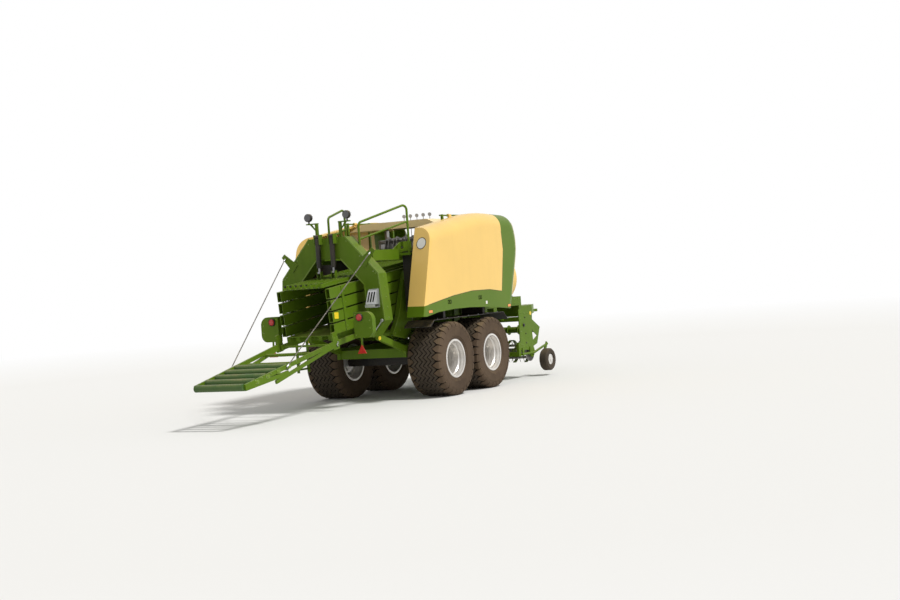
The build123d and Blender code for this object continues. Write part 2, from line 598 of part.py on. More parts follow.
SHAFT_Z = 1760.0
gearbox = side_plate(
    [(1700, FRONT_BEAM_TOP), (1700, 2160), (2240, 2160), (2420, 2010), (2700, 2010), (2700, FRONT_BEAM_TOP)], (-330, 330)
)
gearbox += cross_rod(1990, 1830, (-470, 470), 190) + cross_rod(1990, 1830, (-520, 520), 95)
gearbox += both_sides(slab((1760, 2220), (420, 450), (FRONT_BEAM_TOP, 1830)))
gearbox += slab((1700, 2700), (-585, 585), (FRONT_BEAM_TOP, FRONT_BEAM_TOP + 20))
save("main_gearbox", gearbox)
FLYWHEEL_X = 2990.0
flywheel = rod((FLYWHEEL_X, 0, SHAFT_Z), (FLYWHEEL_X + 110, 0, SHAFT_Z), 420)
flywheel += rod((2700 + SIDE_GAP, 0, SHAFT_Z), (FLYWHEEL_X + 230, 0, SHAFT_Z), 60)
PTO_RADIUS = 22.2
flywheel += rod((FLYWHEEL_X + 200, 0, SHAFT_Z), (FLYWHEEL_X + 330, 0, SHAFT_Z), PTO_RADIUS)
save("flywheel", flywheel)

# Feed channel that curves up from the pick-up into the chamber floor

FEED_HALF = 470.0
FEED_WALL = 12.0
MOUTH_X = 1690.0
feed_outline = [
    Line((1850, -FEED_HALF, 430), (1850, -FEED_HALF, 640)),
    ThreePointArc((1850, -FEED_HALF, 640), (1440, -FEED_HALF, 860), (1170, -FEED_HALF, 1640)),
    Line((1170, -FEED_HALF, 1640), (560, -FEED_HALF, 1640)),
    ThreePointArc((560, -FEED_HALF, 1640), (840, -FEED_HALF, 800), (1850, -FEED_HALF, 430)),
]
feed_face = make_face(feed_outline)
feed = extrude(feed_face, amount=2 * FEED_HALF, dir=(0, 1, 0))
duct = extrude(offset(feed_face, -FEED_WALL), amount=2 * (FEED_HALF - FEED_WALL), dir=(0, 1, 0))
feed -= Pos(0, FEED_WALL, 0) * duct
feed -= slab((1800, 1900), (FEED_WALL - FEED_HALF, FEED_HALF - FEED_WALL), (445, 625))
feed -= in_chamber(slab((0, 5000), (-half - 100, half + 100), (-WALL, 900)))
for rib_x, rib_low, rib_high in ((700, 1060, 1480), (950, 780, 1480), (1200, 620, 1300), (1450, 520, 800)):
    feed += both_sides(slab((rib_x, rib_x + 15), (FEED_HALF, FEED_HALF + 30), (rib_low, rib_high)))
mouth_region = slab((MOUTH_X, 1900), (-600, 600), (300, 900))
save("feed_channel", feed - main_frame - mouth_region)
save("feed_mouth", (feed & mouth_region) - main_frame)

# Pick-up

pickup_outline = [
    (1980, 1210), (2490, 1180), (2480, 1010), (2760, 860), (2690, 720), (2620, 580), (2270, 490), (1970, 510),
]
PICKUP_Y = (1035.0, 1050.0)
cut_out = side_plate([(2440, 830), (2640, 715), (2470, 640)], (PICKUP_Y[0] - 5, PICKUP_Y[1] + 5))
pickup = both_sides(side_plate(pickup_outline, PICKUP_Y) - cut_out)
REAR_BEAM_Z = (400.0, 480.0)
pickup += slab((1900, 1980), (-PICKUP_Y[1], PICKUP_Y[1]), REAR_BEAM_Z)
pickup += both_sides(slab((1900, 1980), (PICKUP_Y[0] - 30, PICKUP_Y[1]), (REAR_BEAM_Z[0], 640)))
pickup += slab((2000, 2080), (-PICKUP_Y[0], PICKUP_Y[0]), (1000, 1080))
lift_arm = bar((PICKUP_PIN_X, PICKUP_PIN_Z), (2060, 1040), 90, (700, 740))
pickup += both_sides(lift_arm)
pickup -= cross_rod(PICKUP_PIN_X, PICKUP_PIN_Z, (-900, 900), PIN_RADIUS + RUNNING_GAP)
GAUGE_X = 2750.0
GAUGE_Y = 1165.0
GAUGE_Z = 280.0
GAUGE_RADIUS = 195.0
GAUGE_WIDTH = 150.0
ARM_RADIUS = 20.0
arm_y = PICKUP_Y[1] + ARM_RADIUS / 2
gauge_arm = pipe([(1990, arm_y, 430), (2450, arm_y, 430), (2990, arm_y, 545)], ARM_RADIUS, 200)
gauge_arm += bar((2040, 400), (2040, 540), 60, (PICKUP_Y[1] - 2, PICKUP_Y[1] + 14))
gauge_arm += bar((2330, 400), (2330, 540), 60, (PICKUP_Y[1] - 2, PICKUP_Y[1] + 14))
gauge_arm += bar((2975, 570), (GAUGE_X, GAUGE_Z), 56, (PICKUP_Y[1], PICKUP_Y[1] + 22))
gauge_arm += cross_rod(GAUGE_X, GAUGE_Z, (PICKUP_Y[1], GAUGE_Y + 60), 15)
pickup += both_sides(gauge_arm)
REEL_X = 2400.0
REEL_Z = 460.0
pickup += both_sides(cross_rod(REEL_X, REEL_Z, PICKUP_Y, 100))
BAND_RADIUS = 205.0
BAND_THICK = 8.0
BAND_WIDTH = 60.0
BAND_PITCH = 220.0
BAND_COUNT = 9


def reel_point(radius, angle, y):
    turn = math.radians(angle)
    return (REEL_X + radius * math.cos(turn), y, REEL_Z + radius * math.sin(turn))


def stripper_band(y):
    """Curved strip over the tine reel, joined to the rear beam by a straight tail."""
    start = y - BAND_WIDTH / 2
    outer, inner = BAND_RADIUS, BAND_RADIUS - BAND_THICK
    outline = [
        ThreePointArc(reel_point(outer, 105, start), reel_point(outer, 15, start), reel_point(outer, -75, start)),
        Line(reel_point(outer, -75, start), reel_point(inner, -75, start)),
        ThreePointArc(reel_point(inner, -75, start), reel_point(inner, 15, start), reel_point(inner, 105, start)),
        Line(reel_point(inner, 105, start), (1975, start, REAR_BEAM_Z[1] - 12)),
        Line((1975, start, REAR_BEAM_Z[1] - 12), (1975, start, REAR_BEAM_Z[1] - 2)),
        Line((1975, start, REAR_BEAM_Z[1] - 2), reel_point(outer, 105, start)),
    ]
    return extrude(make_face(outline), amount=BAND_WIDTH, dir=(0, 1, 0))


save("pickup_frame", pickup)
bands = Part()
for step in range(BAND_COUNT):
    bands += stripper_band((step - (BAND_COUNT - 1) / 2) * BAND_PITCH)
save("stripper_bands", bands - pickup)

for side_name, sign in (("left", 1), ("right", -1)):
    wheel = gauge_wheel(GAUGE_X, sign * GAUGE_Y, GAUGE_Z, GAUGE_RADIUS, GAUGE_WIDTH, 15 + RUNNING_GAP)
    save(f"gauge_wheel_{side_name}", wheel)

REEL_HALF = PICKUP_Y[0] - SIDE_GAP
TINE_BAR_RADIUS = 150.0
TINE_TIP_RADIUS = 255.0
TINE_OFFSET = 38.0
reel = cross_rod(REEL_X, REEL_Z, (-REEL_HALF, REEL_HALF), 60)
for disc_y in (-1000, -330, 330, 1000):
    reel += cross_rod(REEL_X, REEL_Z, (disc_y - 5, disc_y + 5), 175)
for turn in range(4):
    bar_angle = 45 + 90 * turn
    bar_x, _, bar_z = reel_point(TINE_BAR_RADIUS, bar_angle, 0)
    reel += cross_rod(bar_x, bar_z, (-1010, 1010), 16)
    for gap in range(BAND_COUNT - 1):
        gap_y = (gap - (BAND_COUNT - 2) / 2) * BAND_PITCH
        for tine_y in (gap_y - TINE_OFFSET - 4, gap_y + TINE_OFFSET - 4):
            corners = [
                reel_point(TINE_BAR_RADIUS - 8, bar_angle + 2, tine_y),
                reel_point(TINE_TIP_RADIUS, bar_angle - 7, tine_y),
                reel_point(TINE_BAR_RADIUS - 8, bar_angle - 3, tine_y),
            ]
            reel += extrude(make_face(Polyline(*corners, close=True)), amount=8, dir=(0, 1, 0))
save("tine_reel", reel)

roller = cross_rod(2640, 830, (-REEL_HALF, REEL_HALF), 55)
for flight_y in range(-900, 901, 200):
    roller += cross_rod(2640, 830, (flight_y - 5, flight_y + 5), 85)
save("crop_roller", roller)

# Side hoods: a moulded shell with an angled rear corner, parted into panel and green trim

CREASE_LOW = (-1520.0, 1440.0)
CREASE_HIGH = (-1150.0, 2640.0)
CORNER_DEPTH = 330.0
CORNER_RUN = -50.0
HINGE_ROD = 12.0
EYE_RADIUS_HOOD = 24.0


HOOD_BACK = 500.0
HOOD_PROFILE = [
    # x, z, corner radius
    (-1783, 1200, 0),
    (-1320, 2615, 260),
    (500, 2885, 4000),
    (1670, 2830, 300),
    (1850, 2330, 700),
    (1450, 1200, 0),
]


def hood_body(skin):
    """Outer form of the hood on the +Y side, drawn in by the skin's thickness."""
    face = make_face(Polyline(*[(px, HOOD_BACK, pz) for px, pz, _ in HOOD_PROFILE], close=True))
    for px, pz, radius in HOOD_PROFILE:
        if radius:
            face = fillet(face.vertices().sort_by_distance((px, HOOD_BACK, pz))[0], radius)
    if skin:
        face = offset(face, -skin)
    outer = HOOD_OUTER - skin
    body = extrude(face, amount=outer - HOOD_BACK, dir=(0, 1, 0))
    base = body.bounding_box().min.Z
    rim = [edge for edge in body.edges() if abs(edge.center().Y - outer) < 1 and abs(edge.center().Z - base) > 1]
    body = fillet(rim, HOOD_ROUND - skin)
    low = Vector(CREASE_LOW[0], HOOD_OUTER, CREASE_LOW[1])
    high = Vector(CREASE_HIGH[0], HOOD_OUTER, CREASE_HIGH[1])
    inward = Vector(-CORNER_RUN, -CORNER_DEPTH, 0)
    normal = (high - low).cross(inward).normalized()
    if normal.X > 0:
        normal = -normal
    corner = Plane(origin=low - normal * skin, z_dir=normal)
    return body - corner * Box(4000, 4000, 2000, align=(Align.CENTER, Align.CENTER, Align.MIN))


skirt_edge = side_plate([(-1900, 1000), (-1900, 1295), (-1470, 1280), (-1100, 1330), (-620, 1352), (-100, 1350),
                         (500, 1325), (1000, 1285), (1460, 1250), (1600, 1000)], (0, 2000))
hood = hood_body(0) - slab((-3000, 3000), (-100, HOOD_INNER), (0, 4000)) - skirt_edge
hood -= hood_body(HOOD_SKIN)
for eye_x in (0, 900):
    hood += slab((eye_x, eye_x + 80), (HINGE_Y, HOOD_INNER + 2), (HINGE_Z - 50, HINGE_Z + 5))
    hood += rod((eye_x, HINGE_Y, HINGE_Z), (eye_x + 80, HINGE_Y, HINGE_Z), EYE_RADIUS_HOOD)
    hood -= rod((eye_x - 5, HINGE_Y, HINGE_Z), (eye_x + 85, HINGE_Y, HINGE_Z), HINGE_ROD + RUNNING_GAP)
trim_region = side_plate([(-2000, 1200), (-2000, 1470), (-1520, 1440), (-620, 1560), (0, 1610), (600, 1605),
                          (1020, 1560), (1160, 2240), (1110, 2900), (2000, 2900), (2000, 1200)], (700, HOOD_OUTER + 40))
hood_trim = hood & trim_region
hood_panel = hood - trim_region
save("hood_panel_left", hood_panel)
save("hood_trim_left", hood_trim)
save("hood_panel_right", mirror(hood_panel, about=Plane.XZ))
save("hood_trim_right", mirror(hood_trim, about=Plane.XZ))

# Twine boxes under the hoods, and the posts that carry the hoods' hinge rods

BOX_X = (-1050.0, 1150.0)
BOX_Y = (RAIL_OUTER, HOOD_OUTER - 100)
BOX_Z = (1360.0, 2300.0)
boxes = slab(BOX_X, BOX_Y, BOX_Z)
TIERS = 3
tier = (BOX_Z[1] - BOX_Z[0]) / TIERS
for step in range(TIERS):
    low = BOX_Z[0] + step * tier
    boxes -= slab((BOX_X[0] + 20, BOX_X[1] - 20), (BOX_Y[0] + 15, BOX_Y[1] + 5), (low + 15, low + tier - 5))
boxes += slab((BOX_X[1] - 20, 1240), (HINGE_Y - 16, HINGE_Y + 16), (BOX_Z[1] - 60, BOX_Z[1]))
save("twine_boxes", both_sides(boxes))
hinges = rod((-260, HINGE_Y, HINGE_Z), (1300, HINGE_Y, HINGE_Z), HINGE_ROD)
for post_x in (-200, 450, 1200):
    hinges += slab((post_x, post_x + 40), (HINGE_Y - 16, HINGE_Y + 16), (BOX_Z[1], HINGE_Z + 16))
save("hood_hinges", both_sides(hinges))

# Mudguards over the tandem tyres

guard = side_plate([(-1230, 1110), (-1100, 1205), (1190, 1205), (1330, 1080), (1337, 1087), (1193, 1215),
                    (-1103, 1215), (-1237, 1118)], (690, HOOD_OUTER - 90))
for bracket_x in (-700, 600):
    guard += slab((bracket_x, bracket_x + 60), (700, 1100), (1213, BOX_Z[0]))
save("mudguards", both_sides(guard))

# Knotter hood on a rod across the deck, and its carrier posts

KNOT_HOOD_X = (-200.0, 470.0)
KNOT_HOOD_HALF = 860.0
KNOT_ROD = (455.0, 2715.0)


def knotter_cover(skin):
    half, slope_in = KNOT_HOOD_HALF - skin, 240
    base, top = 2700 - (5 if skin else 0), 2815 - skin
    outline = [(-half, base), (half, base), (half - slope_in, top), (slope_in - half, top)]
    return cross_plate(outline, (KNOT_HOOD_X[0] + skin, KNOT_HOOD_X[1] - skin))


cover = knotter_cover(0) - knotter_cover(20)
cover -= slab((400, 600), (-620, 620), (2600, 2745))
for eye_y in (-500, 420):
    eye = cross_rod(KNOT_ROD[0], KNOT_ROD[1], (eye_y, eye_y + 80), 24)
    eye += slab((450, 470), (eye_y, eye_y + 80), (KNOT_ROD[1], 2760))
    cover += eye - cross_rod(KNOT_ROD[0], KNOT_ROD[1], (eye_y - 5, eye_y + 85), HINGE_ROD + RUNNING_GAP)
save("knotter_hood", cover)

# Knotters: side cheeks, bill discs and shafts in a row across the chamber roof

knotters = slab((300, 380), (-RAIL_OUTER, RAIL_OUTER), (DECK_Z + DECK_THICK, 2400))
for needle_y in NEEDLE_YS:
    for cheek in (-36, 28):
        cheek_y = (needle_y + cheek, needle_y + cheek + 8)
        knotters += side_plate([(60, 2300), (300, 2285), (300, 2400), (240, 2560), (90, 2560), (40, 2420)], cheek_y)
knotters += cross_rod(210, 2500, (-560, 560), 26)
for needle_y in NEEDLE_YS:
    knotters += cross_rod(210, 2500, (needle_y + 36.5, needle_y + 56), 85)
for post_y in (-560, 520):
    knotters += slab((190, 400), (post_y, post_y + 40), (2380, 2540))
    knotters += slab((400, 480), (post_y, post_y + 40), (2380, 2730))
knotters += cross_rod(KNOT_ROD[0], KNOT_ROD[1], (-600, 600), HINGE_ROD)
knotters += slab((540, 570), (-300, 300), (2380, 2400)) + slab((380, 570), (-20, 20), (2380, 2400))
save("knotters", knotters)

# Twine tension discs on stalks in front of the knotter hood

discs = slab((540, 570), (-290, 290), (2400, 2425))
for step in range(5):
    disc_y = -250 + 125 * step
    discs += rod((555, disc_y, 2420), (555, disc_y, 2900), 6)
    discs += rod((547, disc_y, 2920), (563, disc_y, 2920), 30)
save("tension_discs", discs)

# Handrails and ladder

RAIL_TUBE = 18.0
right_top = pipe(
    [(-1925, -440, 2441), (-1925, -440, 2770), (-1120, -820, 3030), (-1120, -820, DECK_Z + 10)], RAIL_TUBE, 70
)
right_mid = rod((-1925, -440, 2520), (-1120, -820, 2760), 15)
left_top = pipe(
    [(-1340, 500, DECK_Z + 10), (-1340, 500, 2920), (-780, 560, 3060), (-780, 560, DECK_Z + 10)], RAIL_TUBE, 70
)
left_mid = rod((-1340, 500, 2600), (-780, 560, 2740), 15)
rails_up = right_top + right_mid + left_top + left_mid
rails_up += slab((-1150, -1090), (-850, -RAIL_OUTER), (DECK_Z, DECK_Z + DECK_THICK))
save("handrails", rails_up - gate - deck)
ladder = Part()
for stringer_x in (-1860, -1580):
    ladder += slab((stringer_x - 20, stringer_x), (880, 920), (520, 2240))
for step in range(7):
    rung_z = 560 + 260 * step
    ladder += slab((-1860, -1600), (885, 915), (rung_z, rung_z + 25))
ladder += slab((-1880, -1580), (RAIL_OUTER, 920), (DECK_Z, DECK_Z + 20))
save("ladder", ladder)

# Rear lamp panels with red lamps and triangles

PANEL_X = -2610.0
panel_outline = [
    Line((PANEL_X, 685, 1440), (PANEL_X, 880, 1440)),
    ThreePointArc((PANEL_X, 880, 1440), (PANEL_X, 968, 1404), (PANEL_X, 1005, 1315)),
    Line((PANEL_X, 1005, 1315), (PANEL_X, 1005, 1170)),
    ThreePointArc((PANEL_X, 1005, 1170), (PANEL_X, 975, 1093), (PANEL_X, 900, 1060)),
    Line((PANEL_X, 900, 1060), (PANEL_X, 685, 1060)),
    Line((PANEL_X, 685, 1060), (PANEL_X, 685, 1440)),
]
panel_face = make_face(panel_outline)
lamp_panel = extrude(panel_face, amount=10, dir=(1, 0, 0))
lamp_panel += extrude(panel_face - offset(panel_face, -8), amount=90, dir=(1, 0, 0))
lamp_panel += slab((PANEL_X, GATE_REAR_X), (740, 770), (1170, 1220))
lamp_panel += slab((PANEL_X, PANEL_X + 10), (785, 815), (930, 1070))
save("lamp_panels", both_sides(lamp_panel) - gate)
red = rod((-2610, 790, 1360), (-2645, 790, 1360), 48)
red += cross_plate([(725, 830), (875, 830), (800, 960)], (-2622, -2610))
save("red_lamps", both_sides(red))

# Work lamps above the gate

lamp = rod((-2080, LAMP_Y, LAMP_ARM_Z), (-2080, LAMP_Y, LAMP_ARM_Z + 50), 16)
lamp += rod((-2120, LAMP_Y, 2905), (-2065, LAMP_Y, 2905), 62)
lamp += rod((-2066, LAMP_Y, 2905), (-2035, LAMP_Y, 2905), 42)
save("work_lamps", both_sides(lamp))

# Wheel chocks in holders on the gate

chock = side_plate([(-2152 - 140, 1530), (-2150 - PLATE, 1530), (-2150 - PLATE, 1740), (-2190, 1740)], (700, 860))
chock += slab((GATE_REAR_X - PLATE, GATE_REAR_X), (690, 870), (1480, 1760))
chock += slab((GATE_REAR_X - 150, GATE_REAR_X), (690, 870), (1480, 1530))
save("wheel_chocks", both_sides(chock))

# Flywheel guard on the gearbox

guard_ring = rod((2700, 0, SHAFT_Z), (3140, 0, SHAFT_Z), 470) - rod((2700, 0, SHAFT_Z), (3145, 0, SHAFT_Z), 455)
guard_ring -= slab((2690, 3200), (-600, 600), (1000, FRONT_BEAM_TOP))
save("flywheel_guard", guard_ring)
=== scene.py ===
import math

import bmesh
import bpy
from mathutils import Matrix, Vector
from mathutils.bvhtree import BVHTree


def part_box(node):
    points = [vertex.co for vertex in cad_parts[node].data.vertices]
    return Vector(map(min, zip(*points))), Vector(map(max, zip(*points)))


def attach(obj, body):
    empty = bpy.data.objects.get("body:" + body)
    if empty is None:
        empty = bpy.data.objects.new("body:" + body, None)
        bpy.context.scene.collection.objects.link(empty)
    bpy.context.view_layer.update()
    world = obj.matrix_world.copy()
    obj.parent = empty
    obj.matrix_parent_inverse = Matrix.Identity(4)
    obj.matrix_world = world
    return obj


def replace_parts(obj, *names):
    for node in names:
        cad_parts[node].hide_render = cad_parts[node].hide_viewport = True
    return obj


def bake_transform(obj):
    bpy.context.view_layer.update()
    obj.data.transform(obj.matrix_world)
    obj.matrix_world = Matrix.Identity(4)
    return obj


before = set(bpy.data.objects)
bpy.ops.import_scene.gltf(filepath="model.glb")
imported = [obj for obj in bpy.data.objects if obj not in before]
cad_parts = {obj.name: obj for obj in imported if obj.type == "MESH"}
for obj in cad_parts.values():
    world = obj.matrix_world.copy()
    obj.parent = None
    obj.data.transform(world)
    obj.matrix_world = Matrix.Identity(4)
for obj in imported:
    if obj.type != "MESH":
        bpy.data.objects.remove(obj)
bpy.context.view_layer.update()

bl_info = {
    "name": "Large Square Baler",
    "version": (1, 0, 0),
    "blender": (4, 5, 0),
    "location": "3D View > Sidebar > Baler",
    "description": "Dresses the large square baler with tyres, twine, lamps, fasteners and finishes",
    "category": "Object",
}


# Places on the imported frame

def node_box(node):
    """Lowest corner, highest corner and middle of a CAD node."""
    low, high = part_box(node)
    return low, high, (low + high) / 2


FORWARD, BACK, LEFT, RIGHT, DOWN, UP = (
    Vector(way) for way in ((1, 0, 0), (-1, 0, 0), (0, 1, 0), (0, -1, 0), (0, 0, -1), (0, 0, 1))
)
SIDES = ((1, "left"), (-1, "right"))
WHEELS = ("front_left", "front_right", "rear_left", "rear_right")
TANDEM_X = node_box("axle_beams")[2].x
TYRE_LOW, TYRE_HIGH, _ = node_box("tyre_front_left")
TYRE_RADIUS = (TYRE_HIGH.z - TYRE_LOW.z) / 2
TYRE_HALF = (TYRE_HIGH.y - TYRE_LOW.y) / 2
RIM_LIP = (node_box("rim_front_left")[1].z - node_box("rim_front_left")[0].z) / 2


def spot(x, y, z):
    """Point given from the middle between the two axles."""
    return Vector((x + TANDEM_X, y, z))


SURFACES = {}


def land(node, start, aim):
    """Point and outward normal where a ray first meets a CAD node."""
    if node not in SURFACES:
        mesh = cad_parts[node].data
        points, polygons = [v.co[:] for v in mesh.vertices], [p.vertices[:] for p in mesh.polygons]
        SURFACES[node] = BVHTree.FromPolygons(points, polygons)
    point, normal, _, _ = SURFACES[node].ray_cast(Vector(start), aim)
    if point is None:
        raise ValueError(f"no surface of {node} lies ahead of {tuple(start)}")
    return point, (normal if normal.dot(aim) < 0 else -normal)


OUTSIDE = 1.5
RAY_START = 0.1
NEARLY_UPRIGHT = 0.95


def flipped(point, side):
    """The point or direction itself on the left (+1), and its mirror image on the right (-1)."""
    return Vector((point[0], point[1] * side, point[2]))


def land_inward(node, x, z, side, y=OUTSIDE):
    """Lands on a node from its left (+1) or right (-1); x is taken from between the axles."""
    return land(node, spot(x, side * y, z), flipped(RIGHT, side))


def facing(point, normal):
    """Local Z along a normal and local Y as near as can be to up."""
    out = Vector(normal).normalized()
    guide = UP if abs(out.dot(UP)) < NEARLY_UPRIGHT else FORWARD
    across = guide.cross(out).normalized()
    turn = Matrix((across, out.cross(across), out)).transposed().to_4x4()
    return Matrix.Translation(Vector(point)) @ turn


def outer_y(node, side):
    """Where a node ends on its left (+1) or right (-1)."""
    low, high, _ = node_box(node)
    return high.y if side > 0 else low.y


def axle_place(middle, y, outward):
    """Turns local Z onto a wheel's axle, pointing outward (+1 left, -1 right)."""
    return Matrix.Translation((middle.x, y, middle.z)) @ Matrix.Rotation(-outward * math.pi / 2, 4, "X")


def axle_circle(middle, y, radius, count, first=0):
    """Points on a circle about a wheel's axle, the first one at an angle in degrees."""
    hub = Vector((middle.x, y, middle.z))
    turns = (math.radians(360 / count * step + first) for step in range(count))
    return [hub + Vector((math.cos(turn), 0, math.sin(turn))) * radius for turn in turns]


# Sizes and colours that a user may change

class BalerSizes(bpy.types.PropertyGroup):
    """Sizes of the fitted pieces."""

    lug_count: bpy.props.IntProperty(
        name="Tread lugs", description="Shoulder lugs on one side of a tyre", default=28, min=20, max=48
    )
    tread_depth: bpy.props.FloatProperty(
        name="Tread depth", description="Height of the tread over the carcass", default=0.022, unit="LENGTH"
    )
    nut_circle: bpy.props.FloatProperty(
        name="Nut circle", description="Radius of the wheel nuts' circle", default=0.131, unit="LENGTH"
    )
    bolt_size: bpy.props.FloatProperty(
        name="Bolt size", description="Width of a common bolt head", default=0.015, unit="LENGTH"
    )
    spool_radius: bpy.props.FloatProperty(
        name="Spool radius", description="Radius of a ball of twine", default=0.125, unit="LENGTH"
    )


def colour_property(name, description, default):
    return bpy.props.FloatVectorProperty(
        name=name, description=description, default=default, size=4, subtype="COLOR", min=0.0, max=1.0
    )


class BalerColours(bpy.types.PropertyGroup):
    """Colours of the paints, plastics, rubber and metals, as linear values."""

    green: colour_property("Frame green", "Paint of the frame, gate and chute", (0.090, 0.166, 0.006, 1))
    deep_green: colour_property("Deep green", "Paint of the chute's rollers", (0.045, 0.105, 0.018, 1))
    # The edge green is the frame green made lighter: a painted highlight for lit flanges, bolt heads, ladder
    # grips and bearing caps
    edge_green: colour_property("Edge green", "Lit flanges and bolt heads", (0.140, 0.235, 0.012, 1))
    cream: colour_property("Cream", "Moulded side hoods", (0.83, 0.55, 0.155, 1))
    faded_cream: colour_property("Faded cream", "Moulded knotter hood", (0.90, 0.68, 0.33, 1))
    # Pale edge paints a highlight along the hoods' rounded front edge
    pale_edge: colour_property("Pale edge", "Line along the hoods' front edge", (0.72, 0.62, 0.34, 1))
    silver: colour_property("Rim silver", "Paint of the wheel rims", (0.74, 0.72, 0.69, 1))
    bright_lip: colour_property("Bright lip", "Lip of the wheel rims", (0.62, 0.60, 0.56, 1))
    rubber: colour_property("Rubber", "Tread of the tyres", (0.055, 0.043, 0.032, 1))
    tyre_wall: colour_property("Tyre wall", "Dusty sides of the tyres", (0.082, 0.055, 0.036, 1))
    # The groove colour is painted shade: near-black for the tread's floor, the chocks' slots and the
    # flywheel's hollows
    groove: colour_property("Groove", "Floor of the tread and dark hollows", (0.008, 0.007, 0.006, 1))
    black: colour_property("Black", "Axles, mudguards and cylinders", (0.012, 0.012, 0.012, 1))
    dark_plastic: colour_property("Dark plastic", "Latches, seams and housings", (0.016, 0.016, 0.017, 1))
    bare_steel: colour_property("Bare steel", "Worn and machined steel", (0.35, 0.34, 0.33, 1))
    bright_rod: colour_property("Bright rod", "Rods of the density cylinders", (0.20, 0.20, 0.21, 1))
    rope: colour_property("Rope", "Strands of the stay ropes", (0.16, 0.15, 0.13, 1))
    zinc: colour_property("Zinc", "Galvanised chocks, bolts and jack leg", (0.55, 0.56, 0.57, 1))
    dust: colour_property("Straw dust", "Chaff and dust on the upper faces", (0.50, 0.36, 0.18, 1))
    twine: colour_property("Twine", "Balls of twine", (0.62, 0.36, 0.06, 1))
    drive_red: colour_property("Drive red", "Paint of the flywheel", (0.30, 0.018, 0.012, 1))
    blank_white: colour_property("Blank white", "Blank signs", (0.80, 0.79, 0.74, 1))
    red_lens: colour_property("Red lens", "Rear lamps and triangles", (0.50, 0.010, 0.008, 1))
    amber_lens: colour_property("Amber lens", "Side markers", (0.85, 0.24, 0.01, 1))
    yellow_lens: colour_property("Yellow reflector", "Reflectors", (0.85, 0.62, 0.02, 1))
    clear_lens: colour_property("Clear lens", "Glasses of the work lamps", (0.07, 0.07, 0.075, 1))


# Shared effects

GREY = (0.5, 0.5, 0.5, 1)


def new_group(name, inputs, outputs):
    """Shader node group: its inputs are (name, default), its outputs are (name, whether it is a colour)."""
    tree = bpy.data.node_groups.new(name, "ShaderNodeTree")
    for socket_name, default in inputs:
        kind = "NodeSocketColor" if isinstance(default, tuple) else "NodeSocketFloat"
        socket = tree.interface.new_socket(name=socket_name, in_out="INPUT", socket_type=kind)
        socket.default_value = default
    for socket_name, coloured in outputs:
        kind = "NodeSocketColor" if coloured else "NodeSocketFloat"
        tree.interface.new_socket(name=socket_name, in_out="OUTPUT", socket_type=kind)
    return tree, tree.nodes.new("NodeGroupInput"), tree.nodes.new("NodeGroupOutput")


def link(tree, start, end):
    tree.links.new(start, end)


def math_node(tree, operation, first, second, clamp=False):
    node = tree.nodes.new("ShaderNodeMath")
    node.operation = operation
    node.use_clamp = clamp
    for socket, value in zip(node.inputs, (first, second)):
        if isinstance(value, (int, float)):
            socket.default_value = value
        else:
            link(tree, value, socket)
    return node.outputs[0]


def multiply(tree, first, second, clamp=False):
    return math_node(tree, "MULTIPLY", first, second, clamp)


def map_range(tree, value, low, high, new_low=0.0, new_high=1.0):
    node = tree.nodes.new("ShaderNodeMapRange")
    link(tree, value, node.inputs["Value"])
    for name, number in (("From Min", low), ("From Max", high), ("To Min", new_low), ("To Max", new_high)):
        node.inputs[name].default_value = number
    return node.outputs["Result"]


def noise(tree, scale, detail, roughness, stretch=None):
    """Noise over the object's own coordinates, which keep their place when a body moves."""
    place = tree.nodes.new("ShaderNodeTexCoord").outputs["Object"]
    node = tree.nodes.new("ShaderNodeTexNoise")
    node.inputs["Scale"].default_value = scale
    node.inputs["Detail"].default_value = detail
    node.inputs["Roughness"].default_value = roughness
    if stretch:
        mapping = tree.nodes.new("ShaderNodeMapping")
        mapping.inputs["Scale"].default_value = stretch
        link(tree, place, mapping.inputs["Vector"])
        place = mapping.outputs["Vector"]
    link(tree, place, node.inputs["Vector"])
    return node.outputs["Fac"]


def mix_colour(tree, factor, first, second):
    node = tree.nodes.new("ShaderNodeMix")
    node.data_type = "RGBA"
    for name, value in (("Factor", factor), ("A", first), ("B", second)):
        link(tree, value, node.inputs[name])
    return node.outputs["Result"]


def build_chaff_dust(name):
    """Straw dust that lies on upward faces and clings in patches lower down."""
    inputs = (("Colour", GREY), ("Dust colour", (0.5, 0.36, 0.18, 1)), ("Amount", 0.5), ("Roughness", 0.4))
    tree, given, made = new_group(name, inputs, (("Colour", True), ("Roughness", False)))
    split = tree.nodes.new("ShaderNodeSeparateXYZ")
    link(tree, tree.nodes.new("ShaderNodeNewGeometry").outputs["Normal"], split.inputs["Vector"])
    lying = map_range(tree, split.outputs["Z"], 0.35, 1.0, 0.12, 1.0)
    patches = map_range(tree, noise(tree, 3.0, 5.0, 0.65), 0.38, 0.72)
    specks = map_range(tree, noise(tree, 60.0, 2.0, 0.5), 0.45, 0.70)
    cover = math_node(tree, "ADD", multiply(tree, patches, 0.75), multiply(tree, specks, 0.45))
    cover = multiply(tree, multiply(tree, cover, lying), given.outputs["Amount"], clamp=True)
    dusty = mix_colour(tree, cover, given.outputs["Colour"], given.outputs["Dust colour"])
    link(tree, dusty, made.inputs["Colour"])
    rough = math_node(tree, "ADD", given.outputs["Roughness"], multiply(tree, cover, 0.45), clamp=True)
    link(tree, rough, made.inputs["Roughness"])
    return tree


